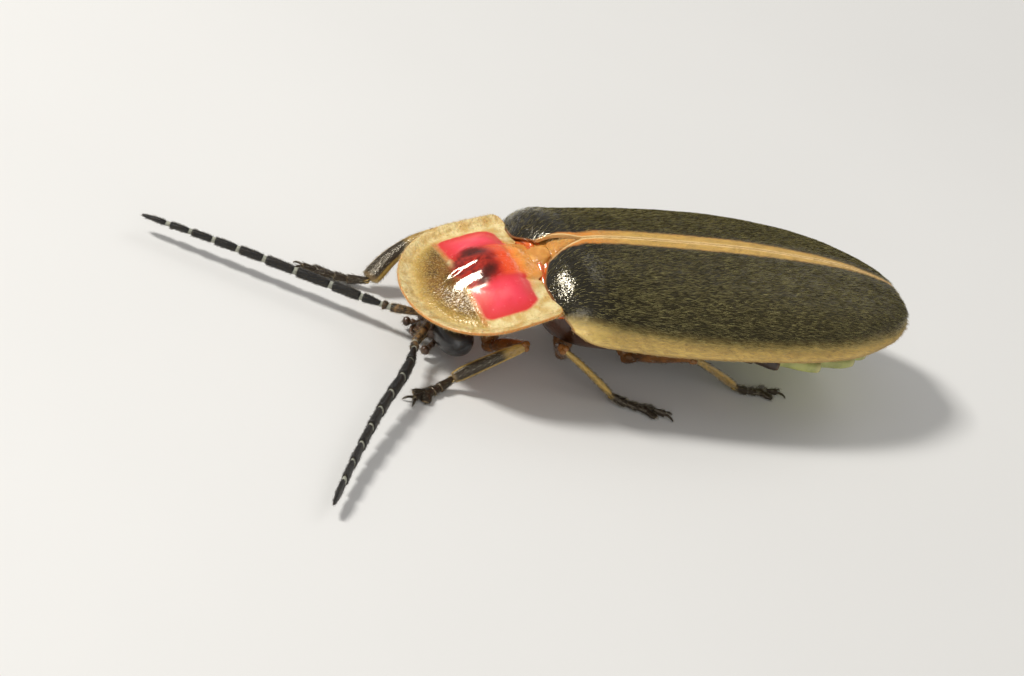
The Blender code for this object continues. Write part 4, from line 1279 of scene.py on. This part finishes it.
def feeler(word):
    """Pieces of one feeler: its joints, and the pale rings between them."""
    course, tilt = evenly(FEELER_COURSES[word]), FEELER_TILTS[word]
    total, reached = sum(FEELER_LENGTHS), 0.0
    last = len(FEELER_LENGTHS) - 1
    joints, rings = [], []
    for number, size in enumerate(FEELER_LENGTHS):
        start, end = along(course, reached / total), along(course, (reached + size) / total)
        reached += size
        run = unit(end - start)
        wide = mm(sizes().feeler_width) * JOINT_SHARES[number]
        near = start + run * (RING_GAP / 2)
        if number == 0:
            near = SOCKET * (1, SIDES[word], 1) + (0.04, 0, 0)
        far = end - run * (RING_GAP / 2 if number < last else 0)
        profile = sized(JOINT_PROFILES.get(number, PLAIN_PROFILE), wide)
        flat = 0.85 if number < BASE_JOINTS else FEELER_FLAT - 0.02 * number
        joint = rod("joint", (near, (near + far) / 2 + (0, 0, 0.006), far), profile, sized(profile, flat),
                    tilt, 28, 30, 0.16 if number == last else 0.055)
        mark(joint, pale=np.full(len(joint.data.vertices), PALE_BASES[min(number, BASE_JOINTS)]))
        joints.append(joint)
        if number < last:
            ring = wide * (0.62 if number < BASE_JOINTS else 0.74)
            rings.append(rod("ring", (end - run * 0.09, end, end + run * 0.09),
                             sized(((0, 0.9), (0.5, 1), (1, 0.9)), ring),
                             sized(((0, 1.05), (1, 1.05)), ring * flat), tilt, 20, 14, 0.1))
    return joints, rings


def joint_finish():
    f = Finish("feeler_shell")
    share = f.number("share")
    ends = f.calc("MAXIMUM", f.step(share, 0.0, 0.030, 0.45, 0.0), f.step(share, 0.965, 0.998, 0.0, 0.5))
    skin = f.mottle(tint("joint"), (0.016, 0.013, 0.010), 0.00025, 4, 0.4, 0.7)
    skin = f.blend(ends, skin, (0.14, 0.10, 0.06))
    pale = f.times(f.number("pale"), f.step(f.noise(0.00012, 4), 0.35, 0.65))
    skin = f.blend(pale, skin, (0.40, 0.22, 0.08))
    grain = f.grain((f.cells(0.000022), 0.000009, 0.7), (f.noise(0.00009, 4), 0.000018, 0.5))
    return f.set(Base_Color=skin, Roughness=0.42, Normal=grain, Specular_IOR_Level=0.4)


class FIREFLY_OT_feelers(Operator):
    """Makes both feelers of eleven joints, with their pale rings and fine hairs"""
    bl_idname = "firefly.feelers"
    bl_label = "Feelers"

    def execute(self, context):
        shell = joint_finish()
        ring_shell = horn_finish("feeler_ring", tint("joint_ring"), (0.42, 0.41, 0.32), 0.5, 0.00005)
        down = hair_finish("feeler_hair", (0.05, 0.04, 0.03), (0.22, 0.18, 0.12))
        for number, word in enumerate(SIDES):
            joints, rings = feeler(word)
            beads = join("feeler_joints_" + word, joints)
            bands = join("feeler_rings_" + word, rings)
            wear(beads, shell)
            wear(bands, ring_shell)
            places = scatter(beads, sizes().feeler_hairs, 61 + number)
            coat = hairs("feeler_hairs_" + word, places, 0.055, *COATS["feeler"])
            wear(coat, down)
            finish_piece(beads, "antennae", "antenna_" + word)
            finish_piece(bands, "antennae")
            finish_piece(coat, "antennae")
        return {"FINISHED"}


# Legs: coxa's top, hip, knee, ankle, end of the last toe joint

TOE_LEVEL = 0.10
LEGS = {
    "front_left": ((-0.98, -0.40, 0.82), (-1.00, -0.62, 0.48), (-0.83, -1.75, 1.28), (-2.22, -1.62, 0.26),
                   (-3.28, -2.16, TOE_LEVEL)),
    "front_right": ((-0.98, 0.40, 0.82), (-1.00, 0.62, 0.48), (-1.37, 2.38, 1.38), (-2.76, 2.00, 0.26),
                    (-4.06, 2.62, TOE_LEVEL)),
    "middle_left": ((0.86, -0.45, 0.66), (0.84, -0.68, 0.42), (0.00, -1.86, 1.32), (1.58, -1.88, 0.24),
                    (2.80, -2.32, TOE_LEVEL)),
    "middle_right": ((0.86, 0.45, 0.66), (0.84, 0.68, 0.42), (0.28, 2.05, 1.24), (1.84, 2.42, 0.24),
                     (3.06, 2.86, TOE_LEVEL)),
    "hind_left": ((2.36, -0.50, 0.68), (2.40, -0.78, 0.48), (3.36, -1.78, 1.22), (5.06, -1.32, 0.24),
                  (6.26, -1.28, TOE_LEVEL)),
    "hind_right": ((2.36, 0.50, 0.68), (2.40, 0.78, 0.48), (3.36, 1.80, 1.18), (5.06, 2.02, 0.24),
                   (6.26, 2.40, TOE_LEVEL)),
}
SHIN_BOWS = {"front_right": (-0.02, 0.12, 0.06)}     # how far a shin's middle stands out of its line
PLAIN_BOW = (0.0, 0.0, 0.03)
SHIN_PROFILES = {               # half widths in mm from knee to ankle
    "front_right": ((0, 0.095), (0.15, 0.125), (0.5, 0.185), (0.85, 0.235), (0.96, 0.225), (1, 0.17)),
    "front_left": ((0, 0.085), (0.15, 0.115), (0.5, 0.140), (0.85, 0.145), (1, 0.11)),
}
SHIN_FACES = {                  # directions of a shin's width, where it isn't the thigh's own
    "front_right": (0.35, 0.80, 0.50),
    "front_left": (-0.39, 0.68, 0.61),
}
PLAIN_SHIN = ((0, 0.07), (0.12, 0.088), (0.55, 0.105), (0.9, 0.118), (1, 0.10))
DARK_FROM = {"front_right": 0.10, "front_left": 0.06}     # share of shin and toes where they darken
PLAIN_DARK_FROM = 0.50
THIGH_HALF = 0.205
TOE_HALF = 0.142
TOE_SHARES = (0.80, 0.90, 1.0, 1.0, 0.46)       # half widths of the five toe joints
TOE_BENDS = ((0.30, 0.115), (0.50, 0.100), (0.67, 0.094), (0.82, 0.105), (1.0, 0.095))    # share, height
LOBED_TOE = 3
SOLE = 0.012                    # height of the toes' undersides over the floor


def upper_leg(root, hip, knee, ankle):
    out, shin_run = unit(knee - hip), unit(ankle - knee)
    pieces = [
        rod("coxa", (root + (0, 0, 0.34), (root + hip) / 2 + (0, 0, 0.10), hip),
            ((0, 0.24), (0.4, 0.25), (1, 0.14)), ((0, 0.22), (1, 0.13)), (1, 0, 0), 28, 28, 0.10),
        rod("trochanter", (hip - out * 0.10, hip + out * 0.08, hip + out * 0.30),
            ((0, 0.12), (0.5, 0.15), (1, 0.10)), None, shin_run, 22, 18, 0.12),
        rod("thigh", (hip + out * 0.14, (hip + knee) / 2 + (0, 0, 0.02), knee),
            sized(((0, 0.5), (0.2, 0.92), (0.5, 1), (0.85, 0.72), (1, 0.66)), THIGH_HALF),
            ((0, 0.08), (0.4, THIGH_HALF * 0.66), (1, 0.095)), shin_run, 28, 40, 0.06),
    ]
    for side in (-1, 1):
        start = knee - out * 0.10 + np.cross(out, shin_run) * 0.055 * side
        path = (start, start + out * 0.10 + shin_run * 0.05, start + out * 0.13 + shin_run * 0.12)
        pieces.append(rod("knee", path, ((0, 0.06), (0.5, 0.078), (1, 0.05)), None, out, 20, 18, 0.16))
    return pieces


def lower_leg(word, hip, knee, ankle, toe):
    shin_run, toe_run = unit(ankle - knee), unit((toe - ankle) * (1, 1, 0))
    aside = np.cross((0, 0, 1), toe_run)
    bow = np.array(SHIN_BOWS.get(word, PLAIN_BOW)) * 0.9
    shin = SHIN_PROFILES.get(word, PLAIN_SHIN)
    path = (knee + shin_run * 0.02, knee * 0.66 + ankle * 0.34 + bow, knee * 0.33 + ankle * 0.67 + bow, ankle)
    pieces = [rod("shin", path, shin, [(place, 0.030 + half * 0.42) for place, half in shin],
                  SHIN_FACES.get(word, unit(knee - hip)), 32, 64, 0.03)]
    for side in (-1, 1):
        spur = ankle + toe_run * 0.16 + aside * side * 0.10 + (0, 0, -0.12)
        pieces.append(rod("spur", (ankle + aside * side * 0.06 - shin_run * 0.03, spur),
                          ((0, 0.024), (1, 0.004)), None, (0, 0, 1), 10, 10))
    bends = [ankle - (0, 0, 0.03)]
    for share, level in TOE_BENDS:
        bends.append(np.array((*(ankle + (toe - ankle) * share)[:2], level)))
    for number, (start, end) in enumerate(zip(bends, bends[1:])):
        run = unit(end - start)
        wide = TOE_HALF * TOE_SHARES[number]
        if number == LOBED_TOE:
            for side in (-1, 1):
                tip = end + aside * side * 0.180 + run * 0.07
                tip[2] = 0.052
                pieces.append(rod("lobe", (start - run * 0.04, (start + tip) / 2 + aside * side * 0.02, tip),
                                  sized(((0, 0.55), (0.6, 0.86), (0.9, 0.74), (1, 0.50)), wide),
                                  ((0, 0.075), (0.5, 0.065), (1, 0.034)), aside, 20, 22, 0.14))
        else:
            deep = min(end[2], start[2]) - SOLE
            pieces.append(rod("toe", (start - run * 0.03, (start + end) / 2, end + run * 0.04),
                              sized(((0, 0.50), (0.55, 0.86), (0.92, 1.08), (1, 0.98)), wide),
                              sized(((0, 0.7), (0.9, 0.95), (1, 0.8)), deep), aside, 24, 24, 0.09))
    for side in (-1, 1):
        claw = (toe - toe_run * 0.03 + (0, 0, -0.01), toe + toe_run * 0.11 + aside * side * 0.08,
                toe + toe_run * 0.20 + aside * side * 0.13 + (0, 0, -0.04),
                toe + toe_run * 0.23 + aside * side * 0.14 + (0, 0, -0.08))
        pieces.append(rod("claw", claw, ((0, 0.028), (0.5, 0.024), (1, 0.006)), None, (0, 0, 1), 12, 18))
    return pieces


def thigh_skin(f):
    skin = f.mottle(tint("thigh"), scaled(tint("thigh"), 0.6), 0.0003, 4, 0.35, 0.7)
    return f.mottle(skin, (0.08, 0.030, 0.012), 0.00045, 4, 0.48, 0.70, 0.8)


def shin_skin(f):
    skin = f.mottle(tint("leg_pale"), tint("gold"), 0.0003, 4, 0.4, 0.7)
    dark = f.step(f.plus(f.number("dark"), f.waver(0.0003, 4, 0.5)), 0.20, 0.90)
    rim = f.times(f.step(f.number("edge"), 0.70, 0.94), f.number("on_shin"))
    skin = f.blend(dark, skin, tint("leg_dark"))
    skin = f.blend(f.times(rim, 0.8), skin, tint("gold"))
    return f.blend(f.step(f.number("share"), 0.92, 0.995, 0.0, 0.55), skin, (0.36, 0.24, 0.11))


def leg_finish(name, colours, rough):
    f = Finish(name)
    grain = f.grain((f.cells(0.000035), 0.00001, 0.6), (f.noise(0.00012, 4), 0.00002, 0.4))
    return f.set(Base_Color=colours(f), Roughness=rough, Normal=grain, Specular_Tint=(1.0, 0.86, 0.62),
                 Coat_Weight=0.2, Coat_Roughness=0.16, Coat_Normal=grain)


def reached(points, start, end):
    """How far points are along the line from start to end, from 0 to 1."""
    line = end - start
    return np.clip(((points - start) @ line) / (line @ line), 0, 1)


class FIREFLY_OT_legs(Operator):
    """Makes the six legs with their spurs, lobed toes, claws and hairs"""
    bl_idname = "firefly.legs"
    bl_label = "Legs"

    def execute(self, context):
        thigh_shell = leg_finish("thigh_shell", thigh_skin, 0.26)
        shin_shell = leg_finish("shin_shell", shin_skin, 0.30)
        down = hair_finish("leg_hair", (0.16, 0.13, 0.08), (0.75, 0.70, 0.55))
        for number, (word, stops) in enumerate(LEGS.items()):
            root, hip, knee, ankle, toe = (np.array(stop) for stop in stops)
            thigh = join("thigh_" + word, upper_leg(root, hip, knee, ankle))
            shin = join("shin_" + word, lower_leg(word, hip, knee, ankle, toe))
            points = beetle_points(shin)
            on_shin, on_toes = reached(points, knee, ankle), reached(points, ankle, toe)
            dark_from = DARK_FROM.get(word, PLAIN_DARK_FROM)
            mark(shin, dark=smooth(dark_from, dark_from + 0.22, on_shin * 0.62 + on_toes * 0.38),
                 on_shin=1 - smooth(0.0, 0.10, on_toes))
            wear(thigh, thigh_shell)
            wear(shin, shin_shell)
            coats = []
            for obj, share, size, seed in ((thigh, 0.3, 0.070, 71), (shin, 0.7, 0.080, 81)):
                places = scatter(obj, int(sizes().leg_hairs * share), seed + number)
                coats.append(hairs("hairs", places, size, *COATS["leg"]))
            only(coats[0])
            coats[1].select_set(True)
            bpy.ops.object.join()
            coat = coats[0]
            coat.name = coat.data.name = "leg_hairs_" + word
            wear(coat, down)
            finish_piece(thigh, "legs", "leg_" + word)
            finish_piece(shin, "legs")
            finish_piece(coat, "legs")
        return {"FINISHED"}


# Floor, lights and camera

CAMERA_FAR = 80.0               # from a point over the origin, at the wing covers' rim level
CAMERA_TURN = radians(34.821)
CAMERA_RISE = radians(28.901)
CAMERA_ROLL = radians(21.815)
CAMERA_ASIDE = (-0.5026, -1.1505)       # to its right and upward
CAMERA_LENS = 130.39
LIGHTS = (                      # name, place in mm, size in mm, watts, colour
    ("key_light", (-75, 38, 91), 24, 0.130, (1.0, 0.985, 0.95)),
    ("top_light", (90, 55, 75), 60, 0.022, (1, 1, 1)),
    ("fill_light", (-40, -95, 50), 80, 0.028, (1.0, 0.99, 0.97)))
LIT_POINT = Vector((2, 0, 1))
SKY = (0.95, 0.94, 0.92, 1)
SKY_STRENGTH = 0.32
FLOOR_RADIUS = 1.5              # in metres


def camera_axes():
    turn = -CAMERA_TURN
    back = Vector((sin(turn) * cos(CAMERA_RISE), -cos(turn) * cos(CAMERA_RISE), sin(CAMERA_RISE)))
    level = Vector((cos(turn), sin(turn), 0))
    upright = back.cross(level)
    right = level * cos(CAMERA_ROLL) + upright * sin(CAMERA_ROLL)
    up = upright * cos(CAMERA_ROLL) - level * sin(CAMERA_ROLL)
    return right, up, back


def add_camera():
    right, up, back = camera_axes()
    bpy.ops.object.camera_add()
    camera = bpy.context.object
    camera.name = "camera"
    aside, above = CAMERA_ASIDE
    place = (back * CAMERA_FAR + right * aside + up * above + Vector((0, 0, RIM_LEVEL))) * MM + SHIFT
    turn = Matrix((right, up, back)).transposed().to_4x4()
    camera.matrix_world = Matrix.Translation(place) @ turn
    camera.data.lens = CAMERA_LENS
    camera.data.sensor_width = 36
    camera.data.clip_start = 0.005
    camera.data.clip_end = 10
    bpy.context.scene.camera = camera


def add_light(name, place_mm, size_mm, watts, tone):
    """A soft square light that faces the beetle."""
    place = Vector(place_mm) * MM + SHIFT
    bpy.ops.object.light_add(type="AREA", location=place)
    light = bpy.context.object
    light.name = name
    light.rotation_euler = (place - SHIFT - LIT_POINT * MM).to_track_quat("Z", "Y").to_euler()
    light.data.size = size_mm * MM
    light.data.energy = watts
    light.data.color = tone


def floor_finish():
    f = Finish("floor_surface")
    return f.set(Base_Color=f.mottle(tint("floor"), scaled(tint("floor"), 0.97), 0.02, 4, 0.3, 0.7),
                 Roughness=0.7, Normal=f.grain((f.noise(0.0006, 4), 0.00001, 0.3)))


class FIREFLY_OT_stage(Operator):
    """Sets up the plain pale floor, the soft lights and the camera"""
    bl_idname = "firefly.stage"
    bl_label = "Stage"

    def execute(self, context):
        pick_nothing()
        bpy.ops.mesh.primitive_circle_add(vertices=96, radius=FLOOR_RADIUS, fill_type="NGON")
        floor = bpy.context.object
        floor.name = floor.data.name = "floor"
        wear(floor, floor_finish())
        for light in LIGHTS:
            add_light(*light)
        world = bpy.context.scene.world or bpy.data.worlds.new("world")
        bpy.context.scene.world = world
        world.use_nodes = True
        sky = world.node_tree.nodes["Background"]
        sky.inputs["Color"].default_value = SKY
        sky.inputs["Strength"].default_value = SKY_STRENGTH
        context.scene.view_settings.view_transform = "Standard"
        add_camera()
        return {"FINISHED"}


OPERATORS = (FIREFLY_OT_wing_covers, FIREFLY_OT_shield, FIREFLY_OT_scutellum, FIREFLY_OT_trunk,
             FIREFLY_OT_head, FIREFLY_OT_feelers, FIREFLY_OT_legs, FIREFLY_OT_stage)


class FIREFLY_PT_panel(Panel):
    """Lists the firefly's pieces, sizes and colours"""
    bl_label = "Firefly"
    bl_idname = "FIREFLY_PT_panel"
    bl_space_type = "VIEW_3D"
    bl_region_type = "UI"
    bl_category = "Firefly"

    def draw(self, context):
        layout = self.layout
        for operator in OPERATORS:
            layout.operator(operator.bl_idname)
        for group in (context.scene.firefly_sizes, context.scene.firefly_colours):
            box = layout.box()
            for key in group.__annotations__:
                box.prop(group, key)


CLASSES = (FireflySizes, FireflyColours, *OPERATORS, FIREFLY_PT_panel)


def register():
    for cls in CLASSES:
        bpy.utils.register_class(cls)
    bpy.types.Scene.firefly_sizes = PointerProperty(type=FireflySizes)
    bpy.types.Scene.firefly_colours = PointerProperty(type=FireflyColours)


def unregister():
    del bpy.types.Scene.firefly_colours
    del bpy.types.Scene.firefly_sizes
    for cls in reversed(CLASSES):
        bpy.utils.unregister_class(cls)


def main():
    register()
    for operator in OPERATORS:
        group, name = operator.bl_idname.split(".")
        getattr(getattr(bpy.ops, group), name)()


if __name__ == "__main__":
    main()
